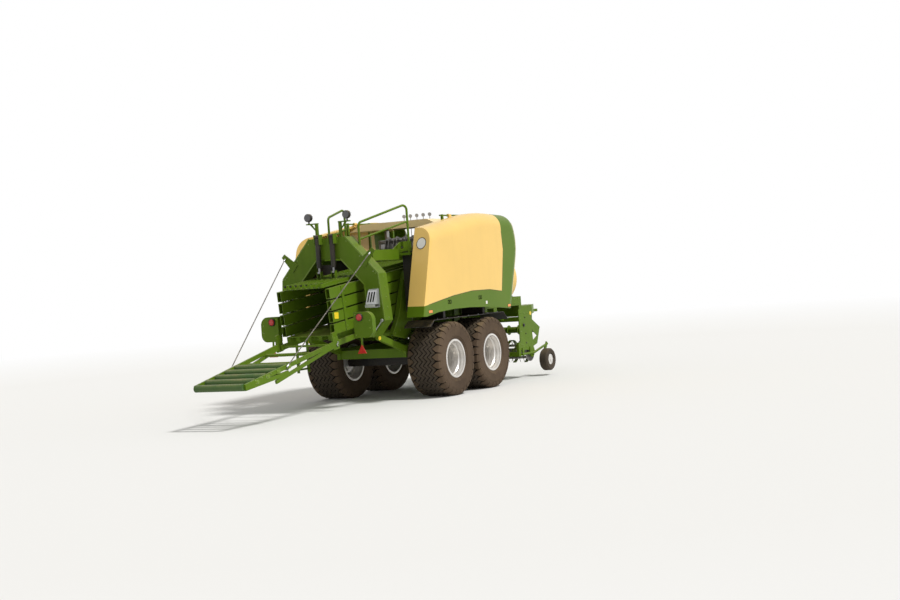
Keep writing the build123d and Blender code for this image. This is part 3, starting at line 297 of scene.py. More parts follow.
def build_edge_wear(name):
    """Paint rubbed through on sharp edges, broken up by noise."""
    inputs = (("Colour", GREY), ("Bare colour", (0.3, 0.3, 0.3, 1)), ("Amount", 0.5), ("Width", 0.004))
    tree, given, made = new_group(name, inputs, (("Colour", True),))
    bevel = tree.nodes.new("ShaderNodeBevel")
    bevel.samples = 4
    link(tree, given.outputs["Width"], bevel.inputs["Radius"])
    dot = tree.nodes.new("ShaderNodeVectorMath")
    dot.operation = "DOT_PRODUCT"
    link(tree, bevel.outputs["Normal"], dot.inputs[0])
    link(tree, tree.nodes.new("ShaderNodeNewGeometry").outputs["Normal"], dot.inputs[1])
    sharp = map_range(tree, dot.outputs["Value"], 0.985, 0.80)
    broken = map_range(tree, noise(tree, 22.0, 4.0, 0.7), 0.48, 0.62)
    mask = multiply(tree, multiply(tree, sharp, broken), given.outputs["Amount"], clamp=True)
    worn = mix_colour(tree, mask, given.outputs["Colour"], given.outputs["Bare colour"])
    link(tree, worn, made.inputs["Colour"])
    return tree


def build_tone(name):
    """Slow variation of a colour, with faint runs down upright faces."""
    tree, given, made = new_group(name, (("Colour", GREY), ("Fade", 0.2), ("Runs", 0.1)), (("Colour", True),))
    broad = map_range(tree, noise(tree, 1.3, 3.0, 0.5), 0.3, 0.7, -0.5, 0.5)
    runs = map_range(tree, noise(tree, 1.0, 4.0, 0.6, (14.0, 14.0, 0.7)), 0.50, 0.75)
    shift = tree.nodes.new("ShaderNodeHueSaturation")
    value = math_node(tree, "ADD", 1.0, multiply(tree, broad, given.outputs["Fade"]))
    value = math_node(tree, "SUBTRACT", value, multiply(tree, runs, given.outputs["Runs"]))
    link(tree, value, shift.inputs["Value"])
    link(tree, given.outputs["Colour"], shift.inputs["Color"])
    link(tree, shift.outputs["Color"], made.inputs["Colour"])
    return tree


def build_surface_grain(name):
    """Fine unevenness of a sprayed or moulded surface, as a height."""
    tree, given, made = new_group(name, (("Fine", 0.5), ("Coarse", 0.5)), (("Height", False),))
    fine = multiply(tree, noise(tree, 420.0, 2.0, 0.5), given.outputs["Fine"])
    coarse = multiply(tree, noise(tree, 14.0, 3.0, 0.5), given.outputs["Coarse"])
    link(tree, math_node(tree, "ADD", fine, coarse), made.inputs["Height"])
    return tree


GROUP_BUILDERS = {
    "Chaff dust": build_chaff_dust,
    "Edge wear": build_edge_wear,
    "Weathered tone": build_tone,
    "Surface grain": build_surface_grain,
}


def place_group(tree, name, **values):
    """Places a shared effect in a material; values are sockets or numbers by input name."""
    node = tree.nodes.new("ShaderNodeGroup")
    node.node_tree = bpy.data.node_groups.get(name) or GROUP_BUILDERS[name](name)
    for key, value in values.items():
        socket = node.inputs[key.replace("_", " ")]
        if hasattr(value, "is_linked"):
            link(tree, value, socket)
        else:
            socket.default_value = value
    return node


# Finishes: every material is made of the shared effects, with its own colour and wear

RUBBER_GRAIN = (0.6, 0.5)
WEAR_WIDTH = 0.004
COAT_ROUGHNESS = 0.12
GRAIN_HEIGHT = 0.004


def build_finish(name, colour, roughness, metallic=0.0, coat=0.0, fade=0.2, runs=0.1, wear=0.0, dust=0.4,
                 grain=(0.15, 0.4), bump=0.08, gloss=0.28):
    """Material made of the shared effects: tone, edge wear, dust and grain."""
    colours = bpy.context.scene.baler_colours
    material = bpy.data.materials.new(name)
    material.use_nodes = True
    tree = material.node_tree
    shader = tree.nodes["Principled BSDF"]
    tone = place_group(tree, "Weathered tone", Colour=tuple(getattr(colours, colour)), Fade=fade, Runs=runs)
    painted = tone.outputs["Colour"]
    if wear:
        bare = tuple(colours.bare_steel)
        worn = place_group(tree, "Edge wear", Colour=painted, Bare_colour=bare, Amount=wear, Width=WEAR_WIDTH)
        painted = worn.outputs["Colour"]
    dusty = place_group(
        tree, "Chaff dust", Colour=painted, Dust_colour=tuple(colours.dust), Amount=dust, Roughness=roughness
    )
    link(tree, dusty.outputs["Colour"], shader.inputs["Base Color"])
    link(tree, dusty.outputs["Roughness"], shader.inputs["Roughness"])
    shader.inputs["Metallic"].default_value = metallic
    shader.inputs["Specular IOR Level"].default_value = gloss
    if coat:
        shader.inputs["Coat Weight"].default_value = coat
        shader.inputs["Coat Roughness"].default_value = COAT_ROUGHNESS
    surface = place_group(tree, "Surface grain", Fine=grain[0], Coarse=grain[1])
    height = tree.nodes.new("ShaderNodeBump")
    height.inputs["Strength"].default_value = bump
    height.inputs["Distance"].default_value = GRAIN_HEIGHT
    link(tree, surface.outputs["Height"], height.inputs["Height"])
    link(tree, height.outputs["Normal"], shader.inputs["Normal"])
    return material


def green_paint(name):
    return build_finish(name, "green", 0.42, wear=0.7, dust=0.36, gloss=0.13)


def green_shell(name):
    return build_finish(name, "green", 0.36, coat=0.03, fade=0.08, runs=0.03, dust=0.24,
                        bump=0.03, gloss=0.16)


def deep_green_paint(name):
    return build_finish(name, "deep_green", 0.42, coat=0.05, wear=0.8, dust=0.5)


# Lighter copy of the frame green that paints the highlight on lit flanges and small parts
def edge_green_paint(name):
    return build_finish(name, "edge_green", 0.36, coat=0.2, wear=0.8, dust=0.3)


def cream_shell(name):
    return build_finish(name, "cream", 0.34, coat=0.12, fade=0.06, runs=0.02, dust=0.30, bump=0.03)


def faded_shell(name):
    return build_finish(name, "faded_cream", 0.36, coat=0.08, fade=0.08, runs=0.02, dust=0.25, bump=0.03)


# Pale colour for the painted highlight on the hoods' front edge
def pale_edge(name):
    return build_finish(name, "pale_edge", 0.4, fade=0.1, dust=0.2)


def silver_rim(name):
    return build_finish(name, "silver", 0.30, metallic=0.55, wear=0.3, dust=0.6, gloss=0.4)


def bright_lip(name):
    return build_finish(name, "bright_lip", 0.32, metallic=0.5, wear=0.4, fade=0.15, dust=0.2)


def tyre_rubber(name):
    return build_finish(name, "rubber", 0.82, fade=0.6, dust=0.22, grain=RUBBER_GRAIN, bump=0.2, gloss=0.2)


def tyre_wall(name):
    return build_finish(name, "tyre_wall", 0.85, fade=0.5, runs=0.15, dust=0.5,
                        grain=RUBBER_GRAIN, bump=0.2, gloss=0.2)


# Near-black that paints the shade in grooves, slots and hollows
def groove_rubber(name):
    return build_finish(name, "groove", 0.9, fade=0.5, dust=0.06, gloss=0.1)


def black_paint(name):
    return build_finish(name, "black", 0.45, wear=0.6, dust=0.5)


def hose_rubber(name):
    return build_finish(name, "dark_plastic", 0.5, fade=0.3, dust=0.3, grain=(0.6, 0.2), bump=0.15)


def worn_steel(name):
    return build_finish(name, "bare_steel", 0.42, metallic=0.9, fade=0.4, runs=0.2, dust=0.45)


def bright_rod(name):
    return build_finish(name, "bright_rod", 0.22, metallic=1.0, runs=0.0, dust=0.2)


def steel_rope(name):
    return build_finish(name, "rope", 0.5, metallic=0.7, fade=0.4, dust=0.3, grain=(0.8, 0.2))


def zinc_coat(name):
    return build_finish(name, "zinc", 0.42, metallic=0.8, fade=0.45, dust=0.3)


def wound_twine(name):
    return build_finish(name, "twine", 0.75, fade=0.5, runs=0.0, dust=0.1, grain=(1.0, 0.3), bump=0.5)


def red_drive_paint(name):
    return build_finish(name, "drive_red", 0.36, coat=0.2, wear=0.7, dust=0.5)


def blank_white(name):
    return build_finish(name, "blank_white", 0.40, fade=0.06, runs=0.05, dust=0.2, bump=0.02)


def red_lens(name):
    return build_finish(name, "red_lens", 0.18, coat=0.8, fade=0.1, dust=0.25)


def amber_lens(name):
    return build_finish(name, "amber_lens", 0.2, coat=0.8, dust=0.2)


def yellow_lens(name):
    return build_finish(name, "yellow_lens", 0.25, coat=0.6, dust=0.2)


def clear_lens(name):
    return build_finish(name, "clear_lens", 0.10, coat=0.9, fade=0.05, runs=0.0, dust=0.15, bump=0.02)


FINISHES = {
    maker.__name__: maker for maker in (
        green_paint, green_shell, deep_green_paint, edge_green_paint, cream_shell, faded_shell, pale_edge,
        silver_rim, bright_lip, tyre_rubber, tyre_wall, groove_rubber, black_paint, hose_rubber,
        worn_steel, bright_rod, steel_rope, zinc_coat, wound_twine, red_drive_paint, blank_white,
        red_lens, amber_lens, yellow_lens, clear_lens,
    )
}


def finish(name):
    """A material of the FINISHES table, built when it is first asked for."""
    return bpy.data.materials.get(name) or FINISHES[name](name)


NODE_FINISHES = {
    "green_paint": (
        "main_frame", "gate_frame", "bale_chamber", "chute_arms", "knotter_deck", "drawbar", "feed_channel",
        "handrails", "ladder", "lamp_panels", "top_flap", "side_flap_left", "side_flap_right", "needle_yoke",
        "chute_frame", "pickup_frame", "crop_roller", "main_gearbox", "cylinder_brackets", "hood_hinges",
        "chamber_walls", "feed_mouth", "stripper_bands",
    ),
    "green_shell": ("hood_trim_left", "hood_trim_right"),
    "deep_green_paint": ("chute_rollers",),
    "cream_shell": ("hood_panel_left", "hood_panel_right", "flywheel_guard"),
    "faded_shell": ("knotter_hood",),
    "silver_rim": tuple(f"rim_{corner}" for corner in WHEELS),
    "tyre_rubber": tuple(f"tyre_{corner}" for corner in WHEELS) + ("gauge_wheel_left", "gauge_wheel_right"),
    "black_paint": ("axle_beams", "twine_boxes", "mudguards", "work_lamps", "density_barrels"),
    "worn_steel": ("knotters", "tension_discs", "tine_reel", "stay_cables"),
    "zinc_coat": ("wheel_chocks", "jack_leg"),
    "bright_rod": ("density_rods",),
    "red_lens": ("red_lamps",),
    "red_drive_paint": ("flywheel",),
}


# Mesh helpers

SHARP_ANGLE = math.radians(32)
CORNER_STEPS = 4
NEARLY_ALONG = 0.98
SHARPEST_INSET = 0.3
SUNK = -0.001
STRIP_FACES = ((3, 2, 1, 0), (4, 5, 6, 7), (0, 1, 5, 4), (1, 2, 6, 5), (2, 3, 7, 6), (3, 0, 4, 7))


def ring_faces(rings, count):
    """Quads from each ring of points to the next."""
    return [
        (row * count + side, row * count + (side + 1) % count, (row + 1) * count + (side + 1) % count,
         (row + 1) * count + side)
        for row in range(rings - 1)
        for side in range(count)
    ]


def end_faces(rings, count):
    """Faces that close the first and the last ring."""
    return [tuple(reversed(range(count))), tuple((rings - 1) * count + side for side in range(count))]


def turned_faces(sides, count, close):
    """Quads from each turned copy of a profile to the next, all the way round."""
    return [
        (side * count + row, (side + 1) % sides * count + row, (side + 1) % sides * count + (row + 1) % count,
         side * count + (row + 1) % count)
        for side in range(sides)
        for row in range(count if close else count - 1)
    ]


class Shape:
    """Points and faces gathered for one mesh."""

    def __init__(self):
        self.points = []
        self.faces = []

    def add(self, points, faces, place=None):
        start = len(self.points)
        place = place or Matrix.Identity(4)
        self.points += [place @ Vector(p) for p in points]
        self.faces += [tuple(start + index for index in face) for face in faces]

    def block(self, low, high, place=None):
        corners = [(x, y, z) for x in (low[0], high[0]) for y in (low[1], high[1]) for z in (low[2], high[2])]
        faces = ((0, 1, 3, 2), (4, 6, 7, 5), (0, 4, 5, 1), (2, 3, 7, 6), (0, 2, 6, 4), (1, 5, 7, 3))
        self.add(corners, faces, place)

    def lathe(self, profile, sides, place, close=False):
        """Revolves (radius, height) points about the local Z axis."""
        turns = [2 * math.pi * side / sides for side in range(sides)]
        points = [
            (radius * math.cos(turn), radius * math.sin(turn), height)
            for turn in turns
            for radius, height in profile
        ]
        count = len(profile)
        faces = turned_faces(sides, count, close)
        if not close:
            faces.append(tuple(side * count for side in reversed(range(sides))))
            faces.append(tuple(side * count + count - 1 for side in range(sides)))
        self.add(points, faces, place)

    def tube(self, path, radius, sides):
        """Round tube along points, with flat ends."""
        path = [Vector(p) for p in path]
        points = []
        guide = UP
        for index, point in enumerate(path):
            ahead = (path[min(index + 1, len(path) - 1)] - path[max(index - 1, 0)]).normalized()
            if abs(ahead.dot(guide)) > NEARLY_ALONG:
                guide = FORWARD
            across = ahead.cross(guide).normalized()
            guide = across.cross(ahead).normalized()
            points += [
                point + (across * math.cos(turn) + guide * math.sin(turn)) * radius
                for turn in (2 * math.pi * side / sides for side in range(sides))
            ]
        self.add(points, ring_faces(len(path), sides) + end_faces(len(path), sides))

    def plate(self, outline, low, high, place, bevel=0.0, hole=None):
        """Flat piece from a closed outline in local X and Y, with a bevelled top edge or a hole if asked."""
        rings = [[(x, y, low) for x, y in outline], [(x, y, high - bevel) for x, y in outline]]
        if bevel:
            rings.append([(x, y, high) for x, y in inset(outline, bevel)])
        if hole:
            rings += [[(x, y, high) for x, y in hole], [(x, y, low) for x, y in hole], rings[0]]
        faces = ring_faces(len(rings), len(outline))
        if not hole:
            faces += end_faces(len(rings), len(outline))
        self.add([point for ring in rings for point in ring], faces, place)

    def bolt(self, point, normal, size):
        """Washer and chamfered hexagon head that stand on a surface."""
        place = facing(point, normal)
        self.lathe([(size * 0.85, SUNK), (size * 0.85, size * 0.10), (size * 0.7, size * 0.14)], 12, place)
        self.lathe([(size * 0.56, 0.0), (size * 0.56, size * 0.5), (size * 0.44, size * 0.58)], 6, place)

    def strip(self, path, normal, width, thick):
        """Flat strip along points, laid on a face with that normal, on the left of the path."""
        for first, last in zip(path, path[1:]):
            side = normal.cross((last - first).normalized()) * width
            corners = [first, last, last + side, first + side]
            points = corners + [corner + normal * thick for corner in corners]
            self.add(points, STRIP_FACES)

    def make(self, name, finish_name, body, slot):
        """Object of the mesh, which rides its body unless that is None."""
        mesh = bpy.data.meshes.new(name)
        mesh.from_pydata([tuple(p) for p in self.points], [], self.faces)
        mesh.validate()
        work = bmesh.new()
        work.from_mesh(mesh)
        bmesh.ops.recalc_face_normals(work, faces=work.faces)
        work.to_mesh(mesh)
        work.free()
        piece = bpy.data.objects.new(name, mesh)
        bpy.context.scene.collection.objects.link(piece)
        mesh.materials.append(finish(finish_name))
        for face in mesh.polygons:
            face.use_smooth = True
        mesh.set_sharp_from_angle(angle=SHARP_ANGLE)
        if body:
            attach(piece, body)
        return piece


def inset(outline, distance):
    """Closed outline moved inward by a distance, whichever way round it runs."""
    count = len(outline)
    corners = zip(outline, outline[1:] + outline[:1])
    area = sum(x * next_y - next_x * y for (x, y), (next_x, next_y) in corners)
    sign = 1.0 if area > 0 else -1.0
    moved = []
    for index in range(count):
        before, here, after = (Vector(outline[(index + step) % count]) for step in (-1, 0, 1))
        one, two = (here - before).normalized(), (after - here).normalized()
        first, second = (Vector((-edge.y, edge.x)) * sign for edge in (one, two))
        half = (first + second).normalized()
        moved.append(tuple(here + half * distance / max(half.dot(first), SHARPEST_INSET)))
    return moved


def rounded(width, height, radius):
    """Outline of a rectangle with rounded corners about the middle."""
    across, up = width / 2 - radius, height / 2 - radius
    corners = ((1, 1, 0), (-1, 1, 90), (-1, -1, 180), (1, -1, 270))
    return [
        (sx * across + radius * math.cos(turn), sy * up + radius * math.sin(turn))
        for sx, sy, start in corners
        for turn in (math.radians(start + 90 * step / CORNER_STEPS) for step in range(CORNER_STEPS + 1))
    ]


# Tyres: places across are shares of half the tyre's width, radii are shares of the tyre's radius

CASING_HALF = [
    (0.518, -0.86), (0.545, -0.90), (0.60, -0.945), (0.612, -0.962), (0.626, -0.958), (0.72, -1.0),
    (0.80, -0.992), (0.812, -0.998), (0.86, -0.975), (0.92, -0.93), (0.952, -0.86), (0.962, -0.5),
]
CASING = CASING_HALF + [(0.963, 0.0)] + [(share, -across) for share, across in reversed(CASING_HALF)]
TREAD_FLOOR = [(0.902, 0.955), (0.920, 0.9750), (0.945, 0.945), (0.960, 0.850), (0.9655, 0.740)]
TYRE_SIDES = 112
RIBS = ((-0.600, -0.427), (-0.353, -0.162), (-0.088, 0.088), (0.162, 0.353), (0.427, 0.600))
RIB_WAVE = 0.115
RIB_FLANK = 0.004
RIB_CLEAR = 0.0008
LUG_ROWS = [
    # place across at the slots and at the lug's middle, radius, width as a share of the pitch
    (0.775, 0.545, 0.9985, 0.76), (0.850, 0.790, 0.9920, 0.84), (0.925, 0.915, 0.9720, 0.89),
    (0.985, 0.985, 0.9250, 0.90), (0.995, 0.995, 0.8950, 0.86),
]
LUG_DEPTH = 1.3
ROW_FACES = ((0, 3, 9, 6), (2, 8, 11, 5), (3, 4, 10, 9), (4, 5, 11, 10), (0, 6, 7, 1), (1, 7, 8, 2))


def tread_ribs(shape, place, count, depth):
    """Ribs round the middle of the tread, parted by zigzag grooves."""
    steps = count * 4
    for low, high in RIBS:
        points = []
        for step in range(steps):
            turn = 2 * math.pi * step / steps
            wave = RIB_WAVE * (1, 0, -1, 0)[step % 4]
            for across, radius in (
                (low - RIB_FLANK, TYRE_RADIUS - depth - RIB_FLANK), (low, TYRE_RADIUS - RIB_CLEAR),
                (high, TYRE_RADIUS - RIB_CLEAR), (high + RIB_FLANK, TYRE_RADIUS - depth - RIB_FLANK),
            ):
                points.append((radius * math.cos(turn), radius * math.sin(turn), (across + wave) * TYRE_HALF))
        shape.add(points, turned_faces(steps, 4, True), place)


def tread_lugs(shape, place, count, depth):
    """Chunky lugs that start along the outer zigzag groove and wrap over both shoulders."""
    pitch = 2 * math.pi / count
    faces = [(0, 1, 4, 3), (1, 2, 5, 4)]
    last = (len(LUG_ROWS) - 1) * 6
    for start in range(0, last, 6):
        faces += [tuple(start + index for index in face) for face in ROW_FACES]
    faces += [(last, last + 3, last + 4, last + 1), (last + 1, last + 4, last + 5, last + 2)]
    for side, offset in ((-1, 0.0), (1, 0.5)):
        for lug in range(count):
            points = []
            for outer, inner, share, fill in LUG_ROWS:
                for radius in (share * TYRE_RADIUS - depth * LUG_DEPTH, share * TYRE_RADIUS):
                    for edge in (-1, 0, 1):
                        angle = (lug + offset + edge * fill / 2) * pitch
                        across = (outer if edge else inner) * TYRE_HALF * side
                        points.append((radius * math.cos(angle), radius * math.sin(angle), across))
            shape.add(points, faces, place)


class BALER_OT_frame_finishes(bpy.types.Operator):
    """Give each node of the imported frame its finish"""

    bl_idname = "baler.frame_finishes"
    bl_label = "Frame finishes"

    def execute(self, context):
        for finish_name, nodes in NODE_FINISHES.items():
            for node in nodes:
                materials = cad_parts[node].data.materials
                materials.clear()
                materials.append(finish(finish_name))
        return {"FINISHED"}


class BALER_OT_tyres(bpy.types.Operator):
    """Build the four tyres with zigzag grooves and shoulder lugs"""

    bl_idname = "baler.tyres"
    bl_label = "Tyres"

    def execute(self, context):
        sizes = context.scene.baler_sizes
        casing_line = [(share * TYRE_RADIUS, across * TYRE_HALF) for share, across in CASING]
        floor_line = [(share * TYRE_RADIUS, across * TYRE_HALF) for share, across in TREAD_FLOOR]
        floor_line += [(radius, -across) for radius, across in reversed(floor_line)]
        for corner in WHEELS:
            body = f"wheel_{corner}"
            middle = node_box(f"tyre_{corner}")[2]
            place = axle_place(middle, middle.y, 1 if middle.y > 0 else -1)
            casing, floor, ribs, lugs = Shape(), Shape(), Shape(), Shape()
            casing.lathe(casing_line, TYRE_SIDES, place, close=True)
            floor.lathe(floor_line, TYRE_SIDES, place, close=True)
            tread_ribs(ribs, place, sizes.lug_count, sizes.tread_depth)
            tread_lugs(lugs, place, sizes.lug_count, sizes.tread_depth)
            # The floor between the ribs is near-black, painted shade in the grooves
            floor.make(f"tread_floor_{corner}", "groove_rubber", body, "tyre")
            casing.make(f"tyre_casing_{corner}", "tyre_wall", body, "tyre")
            lugs.make(f"shoulder_lugs_{corner}", "tyre_wall", body, "tyre")
            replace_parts(ribs.make(f"treaded_tyre_{corner}", "tyre_rubber", body, "tyre"), f"tyre_{corner}")
        return {"FINISHED"}


# Wheel fittings: profiles of (radius, height) over the face that they stand on

NUTS, FIRST_NUT, NUT_SIZE = 10, 12, 0.030
STUD = [(0.011, 0.010), (0.011, 0.040), (0.008, 0.043)]
HUB_CAP = [(0.088, -0.004), (0.088, 0.004), (0.080, 0.010), (0.052, 0.011), (0.050, 0.016), (0.034, 0.018)]
CAP_BOLTS, CAP_BOLT_CIRCLE, CAP_BOLT_SEAT, CAP_BOLT_SIZE = 6, 0.067, 0.009, 0.013
RIM_LIP_LINE = [
    # radius less the rim's own
    (-0.029, -0.012), (-0.027, -0.002), (-0.022, -0.0005), (-0.012, -0.004), (-0.005, -0.0005),
    (-0.001, -0.004), (-0.001, -0.012),
]
RIM_BARREL = [
    (0.2716, -0.335), (0.2680, -0.300), (0.2580, -0.262), (0.2560, -0.205), (0.2440, -0.186),
    (0.2440, -0.104), (0.2600, -0.085), (0.2625, -0.040), (0.2700, -0.028), (0.2716, -0.006),
]
GAUGE_HUB = [(0.092, -0.003), (0.092, 0.005), (0.060, 0.010), (0.040, 0.011), (0.038, 0.022), (0.030, 0.024)]
GAUGE_BOLTS, GAUGE_BOLT_CIRCLE, GAUGE_BOLT_SEAT, GAUGE_BOLT_SIZE = 5, 0.072, 0.007, 0.015
HUB_RAY, GAUGE_HUB_RAY = 0.03, 0.05
VALVE_SIDE, VALVE_DEPTH, VALVE_BELOW_LIP = 0.03, 0.03, 0.055
VALVE_BENDS = ((0, 0, 0), (0, 0.020, -0.010), (0, 0.026, -0.030))
VALVE_RADIUS = 0.005


class BALER_OT_wheel_fittings(bpy.types.Operator):
    """Fit nuts, hub caps, valves, barrels and a bright lip to the rims"""

    bl_idname = "baler.wheel_fittings"
    bl_label = "Wheel fittings"

    def execute(self, context):
        for corner in WHEELS:
            self.road_wheel(corner, context.scene.baler_sizes.nut_circle)
        for side, name in SIDES:
            self.gauge_wheel(side, name)
        return {"FINISHED"}

    def road_wheel(self, corner, nut_circle):
        body, node = f"wheel_{corner}", f"rim_{corner}"
        middle = node_box(f"tyre_{corner}")[2]
        outward = 1 if middle.y > 0 else -1
        aim = flipped(RIGHT, outward)
        face_y = outer_y(node, outward)
        hub, nuts, lips = Shape(), Shape(), Shape()
        for start in axle_circle(middle, face_y + RAY_START * outward, nut_circle, NUTS, first=FIRST_NUT):
            point, normal = land(node, start, aim)
            nuts.bolt(point, normal, NUT_SIZE)
            nuts.lathe(STUD, 10, facing(point, normal))
        point, normal = land(node, (middle.x + HUB_RAY, face_y + RAY_START * outward, middle.z), aim)
        hub.lathe(HUB_CAP, 32, facing((middle.x, point.y, middle.z), normal))
        for seat in axle_circle(middle, point.y + CAP_BOLT_SEAT * outward, CAP_BOLT_CIRCLE, CAP_BOLTS):
            nuts.bolt(seat, normal, CAP_BOLT_SIZE)
        rim = axle_place(middle, face_y, outward)
        lips.lathe([(RIM_LIP + step, height) for step, height in RIM_LIP_LINE], 96, rim, close=True)
        valve_z = middle.z + RIM_LIP - VALVE_BELOW_LIP
        valve = Vector((middle.x + VALVE_SIDE, face_y - VALVE_DEPTH * outward, valve_z))
        lips.tube([valve + flipped(bend, outward) for bend in VALVE_BENDS], VALVE_RADIUS, 8)
        hub.lathe(RIM_BARREL, 96, rim, close=True)
        nuts.make(f"wheel_nuts_{corner}", "zinc_coat", body, "steel")
        hub.make(f"hub_cap_{corner}", "silver_rim", body, "silver")
        lips.make(f"rim_lip_{corner}", "bright_lip", body, "silver")

    def gauge_wheel(self, side, name):
        node = f"gauge_wheel_{name}"
        middle = node_box(node)[2]
        start = (middle.x + GAUGE_HUB_RAY, outer_y(node, side) + RAY_START * side, middle.z)
        point, normal = land(node, start, flipped(RIGHT, side))
        hub = Shape()
        hub.lathe(GAUGE_HUB, 28, facing((middle.x, point.y, middle.z), normal))
        for seat in axle_circle(middle, point.y, GAUGE_BOLT_CIRCLE, GAUGE_BOLTS):
            hub.bolt(seat + normal * GAUGE_BOLT_SEAT, normal, GAUGE_BOLT_SIZE)
        hub.make(f"gauge_hub_{name}", "silver_rim", node, "silver")


BOLT_ROWS = [
    # body, node, first and last ray start from between the axles, way of the ray, count, both sides
    ("chassis", "gate_frame", (-2.4, 0.822, 1.99), (-2.4, 0.885, 1.30), FORWARD, 4, True),
    ("chassis", "gate_frame", (-2.4, 0.868, 1.24), (-2.4, 0.705, 1.09), FORWARD, 3, True),
    ("chassis", "gate_frame", (-2.4, 0.345, 2.50), (-2.4, 0.790, 2.02), FORWARD, 3, True),
    ("chassis", "gate_frame", (-2.0, 1.10, 1.93), (-2.0, 1.10, 1.32), RIGHT, 5, True),
    ("chassis", "main_frame", (-1.05, 0.80, 0.75), (1.50, 0.80, 0.75), RIGHT, 18, True),
    ("chassis", "main_frame", (1.68, 0.80, 1.38), (2.80, 0.80, 1.38), RIGHT, 8, True),
    ("chassis", "main_frame", (1.68, 0.80, 1.30), (2.80, 0.80, 1.30), RIGHT, 8, True),
    ("chassis", "drawbar", (3.0, 0.45, 1.10), (3.9, 0.45, 1.10), RIGHT, 6, True),
    ("chassis", "drawbar", (3.05, 0.24, 1.4), (3.95, 0.24, 1.4), DOWN, 6, True),
    ("chassis", "drawbar", (4.55, 0.02, 1.4), (4.62, 0.02, 1.4), DOWN, 2, True),
    ("chassis", "chamber_walls", (-0.95, 1.0, 1.42), (0.0, 1.0, 1.53), RIGHT, 5, True),
    ("chassis", "lamp_panels", (-2.9, 0.960, 1.20), (-2.9, 0.960, 1.31), FORWARD, 2, True),
    ("chassis", "lamp_panels", (-2.9, 0.712, 1.10), (-2.9, 0.712, 1.40), FORWARD, 2, True),
    ("chassis", "mudguards", (-0.9, 1.10, 1.4), (1.1, 1.10, 1.4), DOWN, 7, True),
    ("chassis", "main_gearbox", (1.76, 0.0, 2.4), (2.16, 0.0, 2.4), DOWN, 3, False),
    ("chassis", "main_gearbox", (1.80, 0.29, 2.4), (2.18, 0.29, 2.4), DOWN, 4, True),
    ("chassis", "main_gearbox", (2.40, 0.60, 1.50), (2.62, 0.60, 1.50), RIGHT, 3, True),
    ("chassis", "main_gearbox", (2.40, 0.60, 1.93), (2.62, 0.60, 1.93), RIGHT, 3, True),
    ("chassis", "feed_channel", (0.72, 0.60, 1.35), (1.10, 0.60, 1.35), RIGHT, 3, True),
    ("side_flap_right", "side_flap_right", (-2.47, -0.8, 1.25), (-2.47, -0.8, 1.775), LEFT, 4, False),
    ("side_flap_right", "side_flap_right", (-1.685, -0.8, 1.34), (-1.685, -0.8, 1.865), LEFT, 4, False),
    ("side_flap_left", "side_flap_left", (-2.47, 0.8, 1.25), (-2.47, 0.8, 1.775), RIGHT, 4, False),
    ("side_flap_left", "side_flap_left", (-1.685, 0.8, 1.34), (-1.685, 0.8, 1.865), RIGHT, 4, False),
    ("chute", "chute_frame", (-3.05, 0.70, 0.99), (-4.60, 0.70, 0.675), RIGHT, 9, True),
    ("chute", "chute_frame", (-2.84, 0.70, 1.10), (-2.90, 0.70, 1.09), RIGHT, 2, True),
    ("pickup", "pickup_frame", (2.06, 1.2, 1.14), (2.42, 1.2, 1.12), RIGHT, 4, True),
    ("pickup", "pickup_frame", (2.02, 1.2, 0.60), (2.02, 1.2, 1.05), RIGHT, 5, True),
    ("pickup", "pickup_frame", (2.30, 1.2, 0.56), (2.55, 1.2, 0.61), RIGHT, 3, True),
    ("needle_yoke", "needle_yoke", (-1.30, 0.8, 1.05), (-1.02, 0.8, 1.12), RIGHT, 3, True),
    ("needle_yoke", "needle_yoke", (-0.80, 0.8, 1.72), (-0.62, 0.8, 1.72), RIGHT, 2, True),
    ("hood_left", "hood_trim_left", (1.60, 1.5, 2.55), (1.60, 1.5, 1.95), RIGHT, 3, False),
    ("hood_right", "hood_trim_right", (1.60, -1.5, 2.55), (1.60, -1.5, 1.95), LEFT, 3, False),
]
BARE_BOLTED = ("mudguards", "main_gearbox", "drawbar")
# Bolt heads on painted parts take the lighter flange green, a painted highlight; bare parts take zinc
BOLT_LOOKS = {"zinc": ("zinc_coat", "zinc"), "painted": ("edge_green_paint", "green")}


class BALER_OT_fasteners(bpy.types.Operator):
    """Set rows of bolt heads on the frame, gate, chamber, hoods, chute, pick-up and yoke"""

    bl_idname = "baler.fasteners"
    bl_label = "Fasteners"

    def execute(self, context):
        size = context.scene.baler_sizes.bolt_size
        gathered = {}
        for body, node, first, last, way, count, both in BOLT_ROWS:
            look = "zinc" if node in BARE_BOLTED else "painted"
            shape = gathered.setdefault((body, look), Shape())
            for side in (1, -1) if both else (1,):
                for step in range(count):
                    start = spot(*flipped(Vector(first).lerp(Vector(last), step / (count - 1)), side))
                    shape.bolt(*land(node, start, flipped(way, side)), size)
        for (body, look), shape in gathered.items():
            shape.make(f"{look}_bolt_heads_{body}", BOLT_LOOKS[look][0], body, BOLT_LOOKS[look][1])
        return {"FINISHED"}


# The pale line along the trim's front edge is a painted highlight. It is traced at these heights, in steps
# from the front, until the trim points ahead no more than EDGE_TURN
HOOD_FRONT = (1.50, 1.58, 1.70, 1.84, 1.98, 2.12, 2.26, 2.38, 2.48, 2.56, 2.63, 2.69)
EDGE_TURN, EDGE_STEP, EDGE_RADIUS = 0.40, 0.010, 0.007
HOOD_SEAM = [
    (-1.490, 1.444), (-0.620, 1.560), (0.0, 1.610), (0.600, 1.605), (1.020, 1.560), (1.160, 2.240),
    (1.132, 2.560),
]
SEAM_STEPS = 6
SEAM_HALF, SEAM_PROUD, SEAM_DEPTH = 0.003, 0.0006, 0.004
SEAM_FACES = [(0, 2, 3, 1), (4, 5, 7, 6), (0, 1, 5, 4), (2, 6, 7, 3), (0, 4, 6, 2), (1, 3, 7, 5)]
